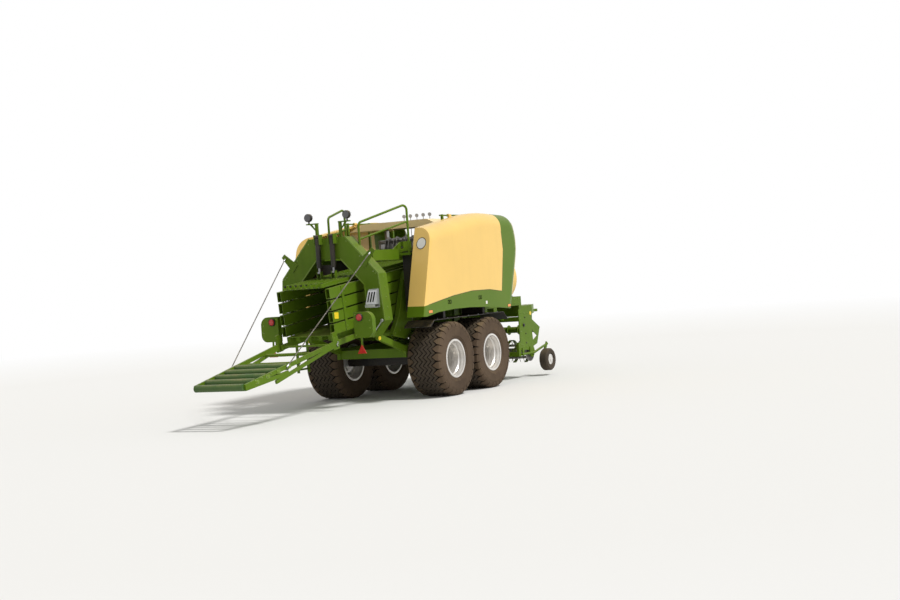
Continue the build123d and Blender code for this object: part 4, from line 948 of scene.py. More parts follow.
# Places of (x, z) on the trim, then the width, height and corner radius of outlines
LATCHES = ((-0.75, 1.47), (0.25, 1.49))
LATCH_RIM, LATCH_TRAY, LATCH_GRIP = (0.115, 0.060, 0.014), (0.085, 0.034, 0.010), (0.034, 0.026, 0.008)
MARKERS = ((-1.35, 1.35), (1.25, 1.31))
MARKER_RIM, MARKER_LENS = (0.118, 0.052, 0.010), (0.106, 0.040, 0.007)
SMALL_SIGN_PLACE, SMALL_SIGN = (0.46, 1.40), (0.058, 0.050, 0.004)
ROUND_SIGN_PLACE = (-2.2, 1.09, 2.40)
ROUND_SIGN = [(0.084, SUNK), (0.084, 0.0032)]
ROUND_SIGN_RIM = [
    (0.094, SUNK), (0.094, 0.003), (0.091, 0.004), (0.084, 0.004), (0.083, 0.003), (0.083, SUNK),
]


class BALER_OT_hood_fittings(bpy.types.Operator):
    """Fit seams, edge lines of painted highlight, latches, markers and blank signs to the side hoods"""

    bl_idname = "baler.hood_fittings"
    bl_label = "Hood fittings"

    def execute(self, context):
        for side, name in SIDES:
            body = f"hood_{name}"
            panel, trim = f"hood_panel_{name}", f"hood_trim_{name}"
            self.edge(trim, side).make(f"hood_edge_{name}", "pale_edge", body, "beige")
            latches, ambers, signs, rims = Shape(), Shape(), Shape(), Shape()
            for x, z in LATCHES:
                place = facing(*land_inward(trim, x, z, side))
                latches.plate(rounded(*LATCH_RIM), -0.002, 0.0, place, hole=rounded(*LATCH_TRAY))
                latches.plate(rounded(*LATCH_TRAY), -0.006, -0.003, place)
                latches.plate(rounded(*LATCH_GRIP), -0.004, 0.0, place)
            for x, z in MARKERS:
                place = facing(*land_inward(trim, x, z, side))
                rims.plate(rounded(*MARKER_RIM), -0.002, 0.0005, place)
                ambers.plate(rounded(*MARKER_LENS), SUNK, 0.0009, place)
            small_sign = facing(*land_inward(trim, *SMALL_SIGN_PLACE, side))
            signs.plate(rounded(*SMALL_SIGN), SUNK, 0.0008, small_sign)
            round_sign = facing(*land(panel, spot(*flipped(ROUND_SIGN_PLACE, side)), FORWARD))
            rims.lathe(ROUND_SIGN_RIM, 48, round_sign, close=True)
            signs.lathe(ROUND_SIGN, 48, round_sign)
            self.seam(panel, side).make(f"hood_seam_{name}", "hose_rubber", body, "dark")
            latches.make(f"hood_latches_{name}", "hose_rubber", body, "dark")
            ambers.make(f"side_markers_{name}", "amber_lens", body, "red")
            signs.make(f"blank_signs_{name}", "blank_white", body, "silver")
            rims.make(f"sign_rims_{name}", "hose_rubber", body, "dark")
        return {"FINISHED"}

    def seam(self, panel, side):
        """Dark joint between the panel and the trim, laid over the panel."""
        shape = Shape()
        line = [
            Vector(first).lerp(Vector(last), step / SEAM_STEPS)
            for first, last in zip(HOOD_SEAM, HOOD_SEAM[1:])
            for step in range(SEAM_STEPS)
        ] + [Vector(HOOD_SEAM[-1])]
        for first, last in zip(line, line[1:]):
            run = (last - first).normalized()
            across = Vector((-run.y, run.x)) * SEAM_HALF
            outer = []
            for x, z in (first, last):
                y = land_inward(panel, x + across.x * 3, z + across.y * 3, side)[0].y + side * SEAM_PROUD
                outer += [spot(x + across.x * sign, y, z + across.y * sign) for sign in (1, -1)]
            inner = [corner - Vector((0, side * SEAM_DEPTH, 0)) for corner in outer]
            shape.add(outer + inner, SEAM_FACES)
        return shape

    def edge(self, trim, side):
        """Pale line, a painted highlight, where the trim turns from its side to its front."""
        shape = Shape()
        turns = []
        for z in HOOD_FRONT:
            front, _ = land(trim, spot(3.2, side * 1.15, z), BACK)
            normal, step = FORWARD, 2
            while normal.x >= EDGE_TURN:
                start = Vector((front.x - EDGE_STEP * step, side * OUTSIDE, front.z))
                point, normal = land(trim, start, flipped(RIGHT, side))
                step += 1
            turns.append(point)
        shape.tube(turns, EDGE_RADIUS, 8)
        return shape


# Outlines of (y, z) on the gate's rear face and of (x, z) on the yoke's side plates

GATE_OUTER = [(0.320, 2.575), (0.860, 1.985), (0.920, 1.280), (0.700, 1.040)]
GATE_INNER = [(0.230, 2.250), (0.625, 1.840), (0.670, 1.330), (0.590, 1.160)]
GATE_EDGE_WIDTH, GATE_EDGE_THICK = 0.018, 0.004
YOKE_EDGES = (
    [(-1.370, 1.030), (-1.160, 1.290), (-0.940, 1.850)],
    [(-0.520, 1.800), (-0.870, 1.040), (-1.000, 0.960), (-1.370, 1.030)],
)
YOKE_EDGE_WIDTH, YOKE_EDGE_THICK = 0.022, 0.003


class BALER_OT_gate_fittings(bpy.types.Operator):
    """Edge the density gate and the needle yoke with flange strips in a lighter green that paints their
    highlight
    """

    bl_idname = "baler.gate_fittings"
    bl_label = "Gate fittings"

    def execute(self, context):
        edges, yoke = Shape(), Shape()
        rear, _ = land("gate_frame", spot(-2.6, 0.75, 1.9), FORWARD)
        for side, _ in SIDES:
            for outline, width in ((GATE_OUTER, -GATE_EDGE_WIDTH), (GATE_INNER, GATE_EDGE_WIDTH)):
                path = [Vector((rear.x, side * y, z)) for y, z in outline]
                edges.strip(path, BACK, width * side, GATE_EDGE_THICK)
            face, _ = land_inward("needle_yoke", -1.05, 1.15, side, y=0.9)
            for outline in YOKE_EDGES:
                path = [spot(x, face.y, z) for x, z in outline]
                yoke.strip(path, flipped(LEFT, side), -YOKE_EDGE_WIDTH * side, YOKE_EDGE_THICK)
        # The strips' lighter green is a painted highlight on the flanges
        edges.make("gate_edges", "edge_green_paint", "chassis", "green")
        yoke.make("yoke_edges", "edge_green_paint", "needle_yoke", "green")
        return {"FINISHED"}


REAR_LAMP_RING = [(0.058, 0.0), (0.058, 0.020), (0.054, 0.026), (0.049, 0.026), (0.049, 0.0)]
REAR_LENS = [(0.049, 0.0), (0.049, 0.024), (0.044, 0.031), (0.026, 0.0345), (0.012, 0.0352)]
LENS_RIBS = (0.018, 0.030, 0.040)
REAR_LAMP_Y, REAR_LAMP_Z = 0.790, 1.360
TRIANGLE = [(-0.075, -0.055), (0.075, -0.055), (0.0, 0.075)]
TRIANGLE_Y, TRIANGLE_Z = 0.800, 0.885
TRIANGLE_THICK, TRIANGLE_RIM_TOP, TRIANGLE_RIM, TRIANGLE_BEVEL = 0.009, 0.0118, 0.014, 0.002
REFLECTOR = [(0.034, SUNK), (0.034, 0.004), (0.030, 0.007)]
WORK_LAMP = [
    (0.052, 0.004), (0.060, 0.0), (0.062, 0.004), (0.062, 0.050), (0.050, 0.056), (0.042, 0.060),
    (0.040, 0.084), (0.030, 0.085),
]
WORK_GLASS = [(0.053, 0.003), (0.050, 0.0015), (0.030, 0.0005), (0.012, 0.0002)]
WORK_LAMP_Y, WORK_LAMP_Z = 0.350, 2.905
FINS = 9
FIN_LOW, FIN_HIGH = (0.036, -0.0015, 0.056), (0.056, 0.0015, 0.082)
STEM = [(0.013, -0.033), (0.013, 0.004)]
STEM_PLACE, STEM_BOLT_PLACE, STEM_BOLT_SIZE = Vector((0.036, 0, -0.062)), Vector((0.036, 0, -0.090)), 0.022


class BALER_OT_lamps(bpy.types.Operator):
    """Build the rear lamps, triangles, reflectors and work lamps"""

    bl_idname = "baler.lamps"
    bl_label = "Lamps and reflectors"

    def execute(self, context):
        self.rear_lamps()
        self.work_lamps()
        return {"FINISHED"}

    def rear_lamps(self):
        housings, lenses, frame_discs, pickup_discs = Shape(), Shape(), Shape(), Shape()
        for side, _ in SIDES:
            base, _ = land("lamp_panels", spot(-3.0, side * 0.725, 1.36), FORWARD)
            place = facing((base.x, side * REAR_LAMP_Y, REAR_LAMP_Z), BACK)
            housings.lathe(REAR_LAMP_RING, 32, place, close=True)
            lenses.lathe(REAR_LENS, 32, place)
            for radius in LENS_RIBS:
                rib = [(radius - 0.002, 0.030), (radius, 0.0352), (radius + 0.002, 0.030)]
                lenses.lathe(rib, 32, place, close=True)
            flat = facing((base.x, side * TRIANGLE_Y, TRIANGLE_Z), BACK)
            lenses.plate(TRIANGLE, 0.0, TRIANGLE_THICK, flat, TRIANGLE_BEVEL)
            lenses.plate(TRIANGLE, TRIANGLE_THICK, TRIANGLE_RIM_TOP, flat, hole=inset(TRIANGLE, TRIANGLE_RIM))
            frame_discs.lathe(REFLECTOR, 24, facing(*land_inward("main_frame", -1.88, 1.01, side, y=0.945)))
            pickup_discs.lathe(REFLECTOR, 24, facing(*land_inward("pickup_frame", 2.42, 1.12, side, y=1.35)))
        frame_discs.make("frame_reflectors", "yellow_lens", "chassis", "red")
        pickup_discs.make("pickup_reflectors", "yellow_lens", "pickup", "red")
        housings.make("rear_lamp_housings", "hose_rubber", "chassis", "dark")
        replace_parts(lenses.make("rear_lamp_lenses", "red_lens", "chassis", "red"), "red_lamps")

    def work_lamps(self):
        lamps, glasses = Shape(), Shape()
        face_x = node_box("work_lamps")[0].x
        for side, _ in SIDES:
            middle = Vector((face_x, side * WORK_LAMP_Y, WORK_LAMP_Z))
            place = facing(middle, FORWARD)
            lamps.lathe(WORK_LAMP, 36, place)
            for step in range(FINS):
                fin = place @ Matrix.Rotation(math.radians(360 / FINS * step), 4, "Z")
                lamps.block(FIN_LOW, FIN_HIGH, fin)
            glasses.lathe(WORK_GLASS, 36, place)
            lamps.lathe(STEM, 16, facing(middle + STEM_PLACE, UP))
            lamps.bolt(middle + STEM_BOLT_PLACE, UP, STEM_BOLT_SIZE)
        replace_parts(lamps.make("work_lamp_heads", "black_paint", "chassis", "dark"), "work_lamps")
        glasses.make("work_lamp_glasses", "clear_lens", "chassis", "silver")


BALL_TIERS, BALLS_PER_TIER = 3, 8
TIER_HEIGHT, TIER_RAY_Y, TIER_RAY_Z = 0.3133, 0.95, 1.56
FIRST_BALL_X, BALL_PITCH, BALL_Y = -0.885, 0.266, 1.01
BALL_TURN = 0.7


class BALER_OT_twine(bpy.types.Operator):
    """Fill the twine boxes with balls of twine"""

    bl_idname = "baler.twine"
    bl_label = "Twine balls"

    def execute(self, context):
        radius = context.scene.baler_sizes.spool_radius
        ball = [
            (0.030, 0.03), (0.050, 0.002), (radius - 0.018, 0.001), (radius, 0.024), (radius + 0.002, 0.11),
            (radius, 0.206), (radius - 0.018, 0.229), (0.050, 0.230), (0.030, 0.20),
        ]
        for side, name in SIDES:
            balls = Shape()
            for tier in range(BALL_TIERS):
                above = spot(FIRST_BALL_X, side * TIER_RAY_Y, TIER_RAY_Z + TIER_HEIGHT * tier)
                floor, _ = land("twine_boxes", above, DOWN)
                for step in range(BALLS_PER_TIER):
                    middle = spot(FIRST_BALL_X + BALL_PITCH * step, side * BALL_Y, floor.z)
                    turn = Matrix.Rotation(BALL_TURN * step + tier, 4, "Z")
                    balls.lathe(ball, 20, Matrix.Translation(middle) @ turn)
            balls.make(f"twine_balls_{name}", "wound_twine", "chassis", "beige")
        return {"FINISHED"}


def route_line(points):
    """Points along a smooth NURBS line through a cord's route."""
    curve = bpy.data.curves.new("route", "CURVE")
    curve.dimensions = "3D"
    spline = curve.splines.new("NURBS")
    spline.points.add(len(points) - 1)
    for control, point in zip(spline.points, points):
        control.co = (*point, 1.0)
    spline.order_u = 3
    spline.use_endpoint_u = True
    spline.resolution_u = 24
    holder = bpy.data.objects.new("route", curve)
    mesh = bpy.data.meshes.new_from_object(holder)
    line = [vertex.co.copy() for vertex in mesh.vertices]
    bpy.data.meshes.remove(mesh)
    bpy.data.objects.remove(holder)
    bpy.data.curves.remove(curve)
    return line


def along(line, distance):
    """Place and direction at a distance along a line of points."""
    for first, last in zip(line, line[1:]):
        length = (last - first).length
        if distance <= length or last is line[-1]:
            return first.lerp(last, min(distance / length, 1.0)), (last - first).normalized()
        distance -= length


ROPE_STEP = 0.012
ROPE_LAY = 0.085
STRANDS = 3
STRAND_OFFSET, STRAND_RADIUS = 0.0049, 0.0041
FERRULE = [(0.010, -0.026), (0.0125, -0.022), (0.0125, 0.022), (0.010, 0.026)]
FERRULE_PLACE = 0.03
ROPE_TOP_Y, ROPE_FOOT_Y = 0.780, 0.4885
ROPE_TOP_INSET, ROPE_END_INSET = 0.010, 0.008


class BALER_OT_stay_ropes(bpy.types.Operator):
    """Lay the twisted stay ropes from the gate's fins to the chute"""

    bl_idname = "baler.stay_ropes"
    bl_label = "Stay ropes"

    def execute(self, context):
        low, high, _ = node_box("stay_cables")
        for side, name in SIDES:
            top = Vector((high.x - ROPE_TOP_INSET, side * ROPE_TOP_Y, high.z - ROPE_END_INSET))
            foot = Vector((low.x + ROPE_END_INSET, side * ROPE_FOOT_Y, low.z + ROPE_END_INSET))
            line = route_line([top, top.lerp(foot, 0.33), top.lerp(foot, 0.67), foot])
            length = sum((b - a).length for a, b in zip(line, line[1:]))
            piece = self.strands(line, length).make(f"stay_rope_{name}", "steel_rope", None, "dark")
            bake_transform(piece)
            if side > 0:
                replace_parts(piece, "stay_cables")
            for distance, body in ((FERRULE_PLACE, "chassis"), (length - FERRULE_PLACE, "chute")):
                ferrule = Shape()
                ferrule.lathe(FERRULE, 14, facing(*along(line, distance)))
                ferrule.make(f"rope_ferrule_{name}_{body}", "zinc_coat", body, "zinc")
        return {"FINISHED"}

    def strands(self, line, length):
        """Strands wound about the line."""
        rope = Shape()
        count = int(length / ROPE_STEP)
        for strand in range(STRANDS):
            path = []
            for step in range(count + 1):
                place, ahead = along(line, length * step / count)
                across = ahead.cross(LEFT).normalized()
                turn = 2 * math.pi * (step * ROPE_STEP / ROPE_LAY + strand / STRANDS)
                out = across * math.cos(turn) + ahead.cross(across) * math.sin(turn)
                path.append(place + out * STRAND_OFFSET)
            rope.tube(path, STRAND_RADIUS, 6)
        return rope


CHOCK_Y = 0.782
CHOCK_LOW, CHOCK_HIGH = 1.532, 1.738
CHOCK_PLATES = (-0.078, -0.046, 0.042, 0.074)
CHOCK_PLATE = 0.004
HOLDER_HALF = 0.086
RAMP_WIDTH, RAMP_LIFT, RAMP_CORNER = 0.156, 0.001, 0.010
SLOT_PLACES = (-0.045, 0.0, 0.045)
SLOT_WIDTH, SLOT_SHARE, SLOT_CORNER, SLOT_SHIFT = 0.024, 0.72, 0.008, 0.006
CHOCK_GRIP = ((-0.03, 1.738), (-0.03, 1.753), (0.03, 1.753), (0.03, 1.738))


class BALER_OT_chocks(bpy.types.Operator):
    """Build the wheel chocks in their holders, with near-black plates on the ramp that paint the shade in its
    slots
    """

    bl_idname = "baler.chocks"
    bl_label = "Wheel chocks"

    def execute(self, context):
        low, high, _ = node_box("wheel_chocks")
        toe, heel, ramp_top = low.x + 0.008, high.x - 0.018, low.x + 0.105
        grip_x = low.x + 0.11
        plates, slots = Shape(), Shape()
        profile = [(toe, CHOCK_LOW), (heel, CHOCK_LOW), (heel, CHOCK_HIGH), (ramp_top, CHOCK_HIGH)]
        start, end = Vector((toe, 0, CHOCK_LOW)), Vector((ramp_top, 0, CHOCK_HIGH))
        length = (end - start).length
        ahead = (end - start).normalized()
        out = Vector((-ahead.z, 0, ahead.x))
        face = Matrix((LEFT, ahead, out)).transposed().to_4x4()
        for side, _ in SIDES:
            y = side * CHOCK_Y
            upright = Matrix(((1, 0, 0, 0), (0, 0, 1, y), (0, 1, 0, 0), (0, 0, 0, 1)))
            for across in CHOCK_PLATES:
                plates.plate(profile, across, across + CHOCK_PLATE, upright)
            ramp = Matrix.Translation(start.lerp(end, 0.5) + Vector((0, y, 0)) + out * RAMP_LIFT) @ face
            plates.plate(rounded(RAMP_WIDTH, length, RAMP_CORNER), -0.004, 0.001, ramp)
            slot = rounded(SLOT_WIDTH, length * SLOT_SHARE, SLOT_CORNER)
            # Thin near-black plates on the ramp paint the shade in the slots
            for across in SLOT_PLACES:
                slots.plate(slot, 0.0005, 0.0016, ramp @ Matrix.Translation((across, SLOT_SHIFT, 0)))
            near, far = y - HOLDER_HALF, y + HOLDER_HALF
            plates.block((high.x - 0.016, near, 1.482), (high.x - 0.001, far, 1.758))
            plates.block((low.x + 0.003, near, 1.486), (high.x - 0.014, far, 1.492))
            plates.block((low.x + 0.003, near, 1.490), (low.x + 0.008, far, 1.526))
            plates.tube([(grip_x, y + across, z) for across, z in CHOCK_GRIP], 0.004, 8)
        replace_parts(plates.make("wheel_chock_plates", "zinc_coat", "chassis", "zinc"), "wheel_chocks")
        slots.make("wheel_chock_slots", "groove_rubber", "chassis", "dark")
        return {"FINISHED"}


CHUTE_PIN_X, CHUTE_PIN_Z = -2.840, 0.990
ROLLER_RUNS = (1.180, 1.420, 1.660, 1.900)
ROLLER_RISE = 0.020
CHUTE_SLOPE = math.radians(11.5)
BEARING_CAP = (0.085, 0.056, 0.016)
BEARING_BOSS = [(0.020, 0.004), (0.020, 0.010), (0.014, 0.013)]
CAP_TOP, CAP_EDGE, CAP_BOLT_SHIFT, BEARING_BOLT = 0.005, 0.001, 0.030, 0.010
PIN_HEAD = [(0.024, -0.012), (0.024, -0.004), (0.016, -0.0005)]
PIN_CLIP = ((0, 0.020), (0, 0.042), (0.020, 0.046), (0.030, 0))
CLIP_DEPTH, CLIP_RADIUS = 0.010, 0.003


class BALER_OT_chute_fittings(bpy.types.Operator):
    """Fit bearing caps and pin clips to the chute"""

    bl_idname = "baler.chute_fittings"
    bl_label = "Chute fittings"

    def execute(self, context):
        caps, pins = Shape(), Shape()
        cos, sin = math.cos(CHUTE_SLOPE), math.sin(CHUTE_SLOPE)
        for side, _ in SIDES:
            for run in ROLLER_RUNS:
                x = CHUTE_PIN_X - run * cos - ROLLER_RISE * sin
                z = CHUTE_PIN_Z - run * sin + ROLLER_RISE * cos
                point, normal = land_inward("chute_frame", x, z, side, y=0.8)
                place = facing(point, normal)
                caps.plate(rounded(*BEARING_CAP), SUNK, CAP_TOP, place, CAP_EDGE)
                caps.lathe(BEARING_BOSS, 16, place)
                for shift in (-CAP_BOLT_SHIFT, CAP_BOLT_SHIFT):
                    across = place.to_3x3() @ Vector((shift, 0, 0))
                    caps.bolt(point + across + normal * CAP_TOP, normal, BEARING_BOLT)
            point, normal = land_inward("chute_arms", CHUTE_PIN_X, CHUTE_PIN_Z, side, y=0.9)
            pins.lathe(PIN_HEAD, 18, facing(point, normal))
            pins.tube([point - normal * CLIP_DEPTH + Vector((x, 0, z)) for x, z in PIN_CLIP], CLIP_RADIUS, 8)
        # The caps take the lighter flange green, a painted highlight
        caps.make("roller_bearing_caps", "edge_green_paint", "chute", "green")
        pins.make("chute_pin_clips", "zinc_coat", "chassis", "zinc")
        return {"FINISHED"}


TEETH, FIRST_TOOTH, TOOTH_PITCH = 15, -0.336, 0.048
TOOTH_LOW, TOOTH_HIGH = Vector((-0.004, -0.010, -0.020)), Vector((0.040, 0.010, 0.006))
FLAP_REFLECTOR = (0.105, 0.095, 0.006)


class BALER_OT_flap_fittings(bpy.types.Operator):
    """Fit teeth to the top flap and reflectors to the side flaps"""

    bl_idname = "baler.flap_fittings"
    bl_label = "Flap fittings"

    def execute(self, context):
        teeth = Shape()
        for step in range(TEETH):
            point, _ = land("top_flap", spot(-2.865, FIRST_TOOTH + TOOTH_PITCH * step, 2.2), DOWN)
            teeth.block(point + TOOTH_LOW, point + TOOTH_HIGH)
        teeth.make("top_flap_teeth", "black_paint", "top_flap", "dark")
        for side, name in SIDES:
            sign = Shape()
            place = facing(*land_inward(f"side_flap_{name}", -2.735, 1.410, side, y=0.8))
            sign.plate(rounded(*FLAP_REFLECTOR), SUNK, 0.004, place, 0.001)
            sign.make(f"flap_reflector_{name}", "yellow_lens", f"side_flap_{name}", "red")
        return {"FINISHED"}


FLYWHEEL_Z = 1.760
FLYWHEEL_RIM = [(0.330, -0.001), (0.332, 0.010), (0.408, 0.012), (0.412, -0.001)]
FLYWHEEL_HUB = [(0.062, -0.001), (0.064, 0.016), (0.140, 0.012), (0.146, -0.001)]
# A hollow is a flat near-black disc: painted shade where the flywheel is dished
HOLLOW_SHADE = [(0.0, 0.0009), (0.055, 0.0009), (0.055, -0.001)]
HOLLOW_RING = [(0.053, -0.001), (0.055, 0.004), (0.064, 0.004), (0.066, -0.001)]
HOLLOWS, HOLLOW_CIRCLE = 6, 0.235
STUDS, STUD_CIRCLE, STUD_SEAT, STUD_SIZE = 8, 0.105, 0.013, 0.020
JACK_X, CRANK_Z, CRANK_RADIUS = 3.780, 1.270, 0.009
CRANK_BOSS = [(0.030, -0.004), (0.030, 0.030), (0.020, 0.036)]
CRANK_BENDS = ((0, 0.02, 0), (0, 0.075, 0), (0.03, 0.095, -0.03), (0.10, 0.095, -0.11), (0.115, 0.11, -0.125),
               (0.115, 0.20, -0.125))


def turned(radius, degrees):
    """Point on a circle about local Z."""
    return Vector((radius * math.cos(math.radians(degrees)), radius * math.sin(math.radians(degrees)), 0.0))


class BALER_OT_drive_fittings(bpy.types.Operator):
    """Fit the flywheel's rings, near-black discs that paint the shade in its hollows, bolts, and the jack's
    crank
    """

    bl_idname = "baler.drive_fittings"
    bl_label = "Drive fittings"

    def execute(self, context):
        ring, hollows, studs, crank = Shape(), Shape(), Shape(), Shape()
        point, normal = land("flywheel", spot(4.5, 0.25, FLYWHEEL_Z), BACK)
        hub = Vector((point.x, 0.0, FLYWHEEL_Z))
        place = facing(hub, normal)
        ring.lathe(FLYWHEEL_RIM, 72, place, close=True)
        ring.lathe(FLYWHEEL_HUB, 48, place, close=True)
        for step in range(HOLLOWS):
            middle = place @ Matrix.Translation(turned(HOLLOW_CIRCLE, 360 / HOLLOWS * (step + 0.5)))
            hollows.lathe(HOLLOW_SHADE, 28, middle)
            ring.lathe(HOLLOW_RING, 28, middle, close=True)
        for step in range(STUDS):
            across = place.to_3x3() @ turned(STUD_CIRCLE, 360 / STUDS * step)
            studs.bolt(hub + across + normal * STUD_SEAT, normal, STUD_SIZE)
        ring.make("flywheel_rings", "red_drive_paint", "flywheel", "red_paint")
        hollows.make("flywheel_hollows", "groove_rubber", "flywheel", "dark")
        studs.make("flywheel_bolts", "zinc_coat", "flywheel", "zinc")
        side, _ = land("drawbar", spot(JACK_X, 0.9, CRANK_Z), RIGHT)
        crank.lathe(CRANK_BOSS, 20, facing(side, LEFT))
        crank.tube([side + Vector(bend) for bend in CRANK_BENDS], CRANK_RADIUS, 10)
        crank.make("jack_crank", "zinc_coat", "chassis", "zinc")
        return {"FINISHED"}


RUNGS, RUNG_PITCH, FIRST_GRIP = 7, 0.260, (-1.856, 0.888, 0.5845)
GRIPS, GRIP_PITCH, GRIP = 3, 0.009, Vector((0.250, 0.004, 0.0040))
STUD_CAP_HEIGHTS = (0.62, 0.78, 1.06)
KNOB = [(0.0, 0.022), (0.020, 0.022), (0.028, 0.014), (0.030, -0.002)]
STUD_CAP = [(0.0, 0.009), (0.010, 0.009), (0.013, 0.004), (0.013, -0.002)]
LINK_EYE = [(0.020, -0.016), (0.024, -0.012), (0.024, 0.012), (0.020, 0.016)]
LINK_ENDS, LINK_RADIUS = ((-2.150, 0.885, 1.285), (-2.150, 0.735, 1.120)), 0.011


class BALER_OT_small_fittings(bpy.types.Operator):
    """Fit grips to the ladder, knobs to the pick-up and a link below each leg of the gate"""

    bl_idname = "baler.small_fittings"
    bl_label = "Small fittings"

    def execute(self, context):
        grips = Shape()
        for step in range(RUNGS):
            for line in range(GRIPS):
                x, y, z = FIRST_GRIP
                low = spot(x, y + GRIP_PITCH * line, z + RUNG_PITCH * step)
                grips.block(low, low + GRIP)
        # The grips take the lighter flange green, a painted highlight
        grips.make("ladder_grips", "edge_green_paint", "chassis", "green")
        for side, name in SIDES:
            knobs, gate_link = Shape(), Shape()
            knobs.lathe(KNOB, 24, facing(*land_inward("pickup_frame", 2.13, 0.930, side)))
            for z in STUD_CAP_HEIGHTS:
                knobs.lathe(STUD_CAP, 14, facing(*land_inward("pickup_frame", 2.20, z, side)))
            knobs.make(f"pickup_knobs_{name}", "black_paint", "pickup", "dark")
            ends = [spot(*flipped(end, side)) for end in LINK_ENDS]
            gate_link.tube(ends, LINK_RADIUS, 12)
            for end in ends:
                gate_link.lathe(LINK_EYE, 18, facing(end, FORWARD))
            gate_link.make(f"gate_link_{name}", "zinc_coat", "chassis", "zinc")
        return {"FINISHED"}


# Stage

CAMERA_PLACE = Vector((-20.471, -12.515, 1.866))
CAMERA_RIGHT = Vector((0.4931, -0.8670, -0.0716))
CAMERA_UP = Vector((0.0496, -0.0541, 0.9973))
CAMERA_AHEAD = Vector((0.8685, 0.4954, -0.0163))
CAMERA_LENS = 58.44
CAMERA_SENSOR = 36.0
CAMERA_REACH = 400.0
FLOOR_HALF = 150.0
FLOOR_FADE = (14.0, 34.0)
FLOOR_COLOUR = (0.80, 0.79, 0.76, 1)
WHITE = (1, 1, 1, 1)
WORLD_STRENGTH = 0.44
LAMPS = (
    # name, strength, spread and turns about X and Z in degrees
    ("key_light", 2.6, 10.0, 38, 1),
    ("fill_light", 0.15, 60.0, 60, -80),
)


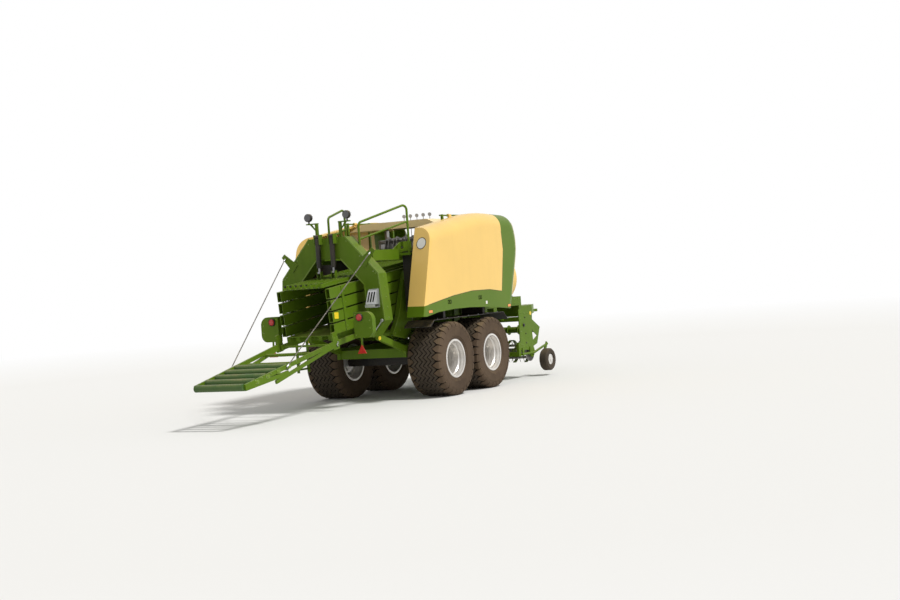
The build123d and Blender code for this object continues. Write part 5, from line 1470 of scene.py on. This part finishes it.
class BALER_OT_stage(bpy.types.Operator):
    """Build the pale floor, the soft lights and the camera"""

    bl_idname = "baler.stage"
    bl_label = "Stage"

    def execute(self, context):
        scene = context.scene
        self.floor(scene)
        self.lights(scene)
        lens = bpy.data.cameras.new("view_camera")
        lens.lens = CAMERA_LENS
        lens.sensor_width = CAMERA_SENSOR
        lens.clip_end = CAMERA_REACH
        camera = bpy.data.objects.new("view_camera", lens)
        scene.collection.objects.link(camera)
        turn = Matrix((CAMERA_RIGHT, CAMERA_UP, -CAMERA_AHEAD)).transposed().to_4x4()
        camera.matrix_world = Matrix.Translation(spot(*CAMERA_PLACE)) @ turn
        scene.camera = camera
        return {"FINISHED"}

    def floor(self, scene):
        """Pale plane that fades to white far out."""
        mesh = bpy.data.meshes.new("floor")
        corners = [(x * FLOOR_HALF, y * FLOOR_HALF, 0) for x, y in ((-1, -1), (1, -1), (1, 1), (-1, 1))]
        mesh.from_pydata(corners, [], [(0, 1, 2, 3)])
        floor = bpy.data.objects.new("floor", mesh)
        scene.collection.objects.link(floor)
        material = bpy.data.materials.new("pale_floor")
        material.use_nodes = True
        tree = material.node_tree
        shader = tree.nodes["Principled BSDF"]
        shader.inputs["Base Color"].default_value = FLOOR_COLOUR
        shader.inputs["Roughness"].default_value = 0.9
        white = tree.nodes.new("ShaderNodeEmission")
        white.inputs["Color"].default_value = WHITE
        reach = tree.nodes.new("ShaderNodeVectorMath")
        reach.operation = "LENGTH"
        link(tree, tree.nodes.new("ShaderNodeTexCoord").outputs["Object"], reach.inputs[0])
        mix = tree.nodes.new("ShaderNodeMixShader")
        link(tree, map_range(tree, reach.outputs["Value"], *FLOOR_FADE), mix.inputs["Fac"])
        link(tree, shader.outputs["BSDF"], mix.inputs[1])
        link(tree, white.outputs["Emission"], mix.inputs[2])
        link(tree, mix.outputs["Shader"], tree.nodes["Material Output"].inputs["Surface"])
        mesh.materials.append(material)

    def lights(self, scene):
        """White world that lights less than it shows, and two suns."""
        world = bpy.data.worlds.new("studio")
        world.use_nodes = True
        tree = world.node_tree
        back = tree.nodes["Background"]
        back.inputs["Color"].default_value = WHITE
        rays = tree.nodes.new("ShaderNodeLightPath").outputs
        seen = math_node(tree, "MAXIMUM", rays["Is Camera Ray"], rays["Is Glossy Ray"])
        seen = math_node(tree, "MAXIMUM", seen, rays["Is Transmission Ray"])
        link(tree, map_range(tree, seen, 0.0, 1.0, WORLD_STRENGTH, 1.0), back.inputs["Strength"])
        scene.world = world
        for name, strength, spread, turn_x, turn_z in LAMPS:
            lamp = bpy.data.lights.new(name, "SUN")
            lamp.energy = strength
            lamp.angle = math.radians(spread)
            holder = bpy.data.objects.new(name, lamp)
            holder.rotation_euler = (math.radians(turn_x), 0.0, math.radians(turn_z))
            scene.collection.objects.link(holder)
        scene.view_settings.view_transform = "Standard"


OPERATORS = (
    BALER_OT_frame_finishes,
    BALER_OT_tyres,
    BALER_OT_wheel_fittings,
    BALER_OT_fasteners,
    BALER_OT_hood_fittings,
    BALER_OT_gate_fittings,
    BALER_OT_lamps,
    BALER_OT_twine,
    BALER_OT_stay_ropes,
    BALER_OT_chocks,
    BALER_OT_chute_fittings,
    BALER_OT_flap_fittings,
    BALER_OT_drive_fittings,
    BALER_OT_small_fittings,
    BALER_OT_stage,
)


class BALER_PT_panel(bpy.types.Panel):
    """Lists the steps that dress the baler"""

    bl_idname = "BALER_PT_panel"
    bl_label = "Large Square Baler"
    bl_space_type = "VIEW_3D"
    bl_region_type = "UI"
    bl_category = "Baler"

    def draw(self, context):
        layout = self.layout
        for step in OPERATORS:
            layout.operator(step.bl_idname)
        for group in (context.scene.baler_sizes, context.scene.baler_colours):
            for name in group.bl_rna.properties.keys():
                if name not in ("rna_type", "name"):
                    layout.prop(group, name)


CLASSES = (BalerSizes, BalerColours, *OPERATORS, BALER_PT_panel)


def register():
    for item in CLASSES:
        bpy.utils.register_class(item)
    bpy.types.Scene.baler_sizes = bpy.props.PointerProperty(type=BalerSizes)
    bpy.types.Scene.baler_colours = bpy.props.PointerProperty(type=BalerColours)


def unregister():
    del bpy.types.Scene.baler_colours
    del bpy.types.Scene.baler_sizes
    for item in reversed(CLASSES):
        bpy.utils.unregister_class(item)


def main():
    register()
    for step in OPERATORS:
        group, name = step.bl_idname.split(".")
        getattr(getattr(bpy.ops, group), name)()


if __name__ == "__main__":
    main()
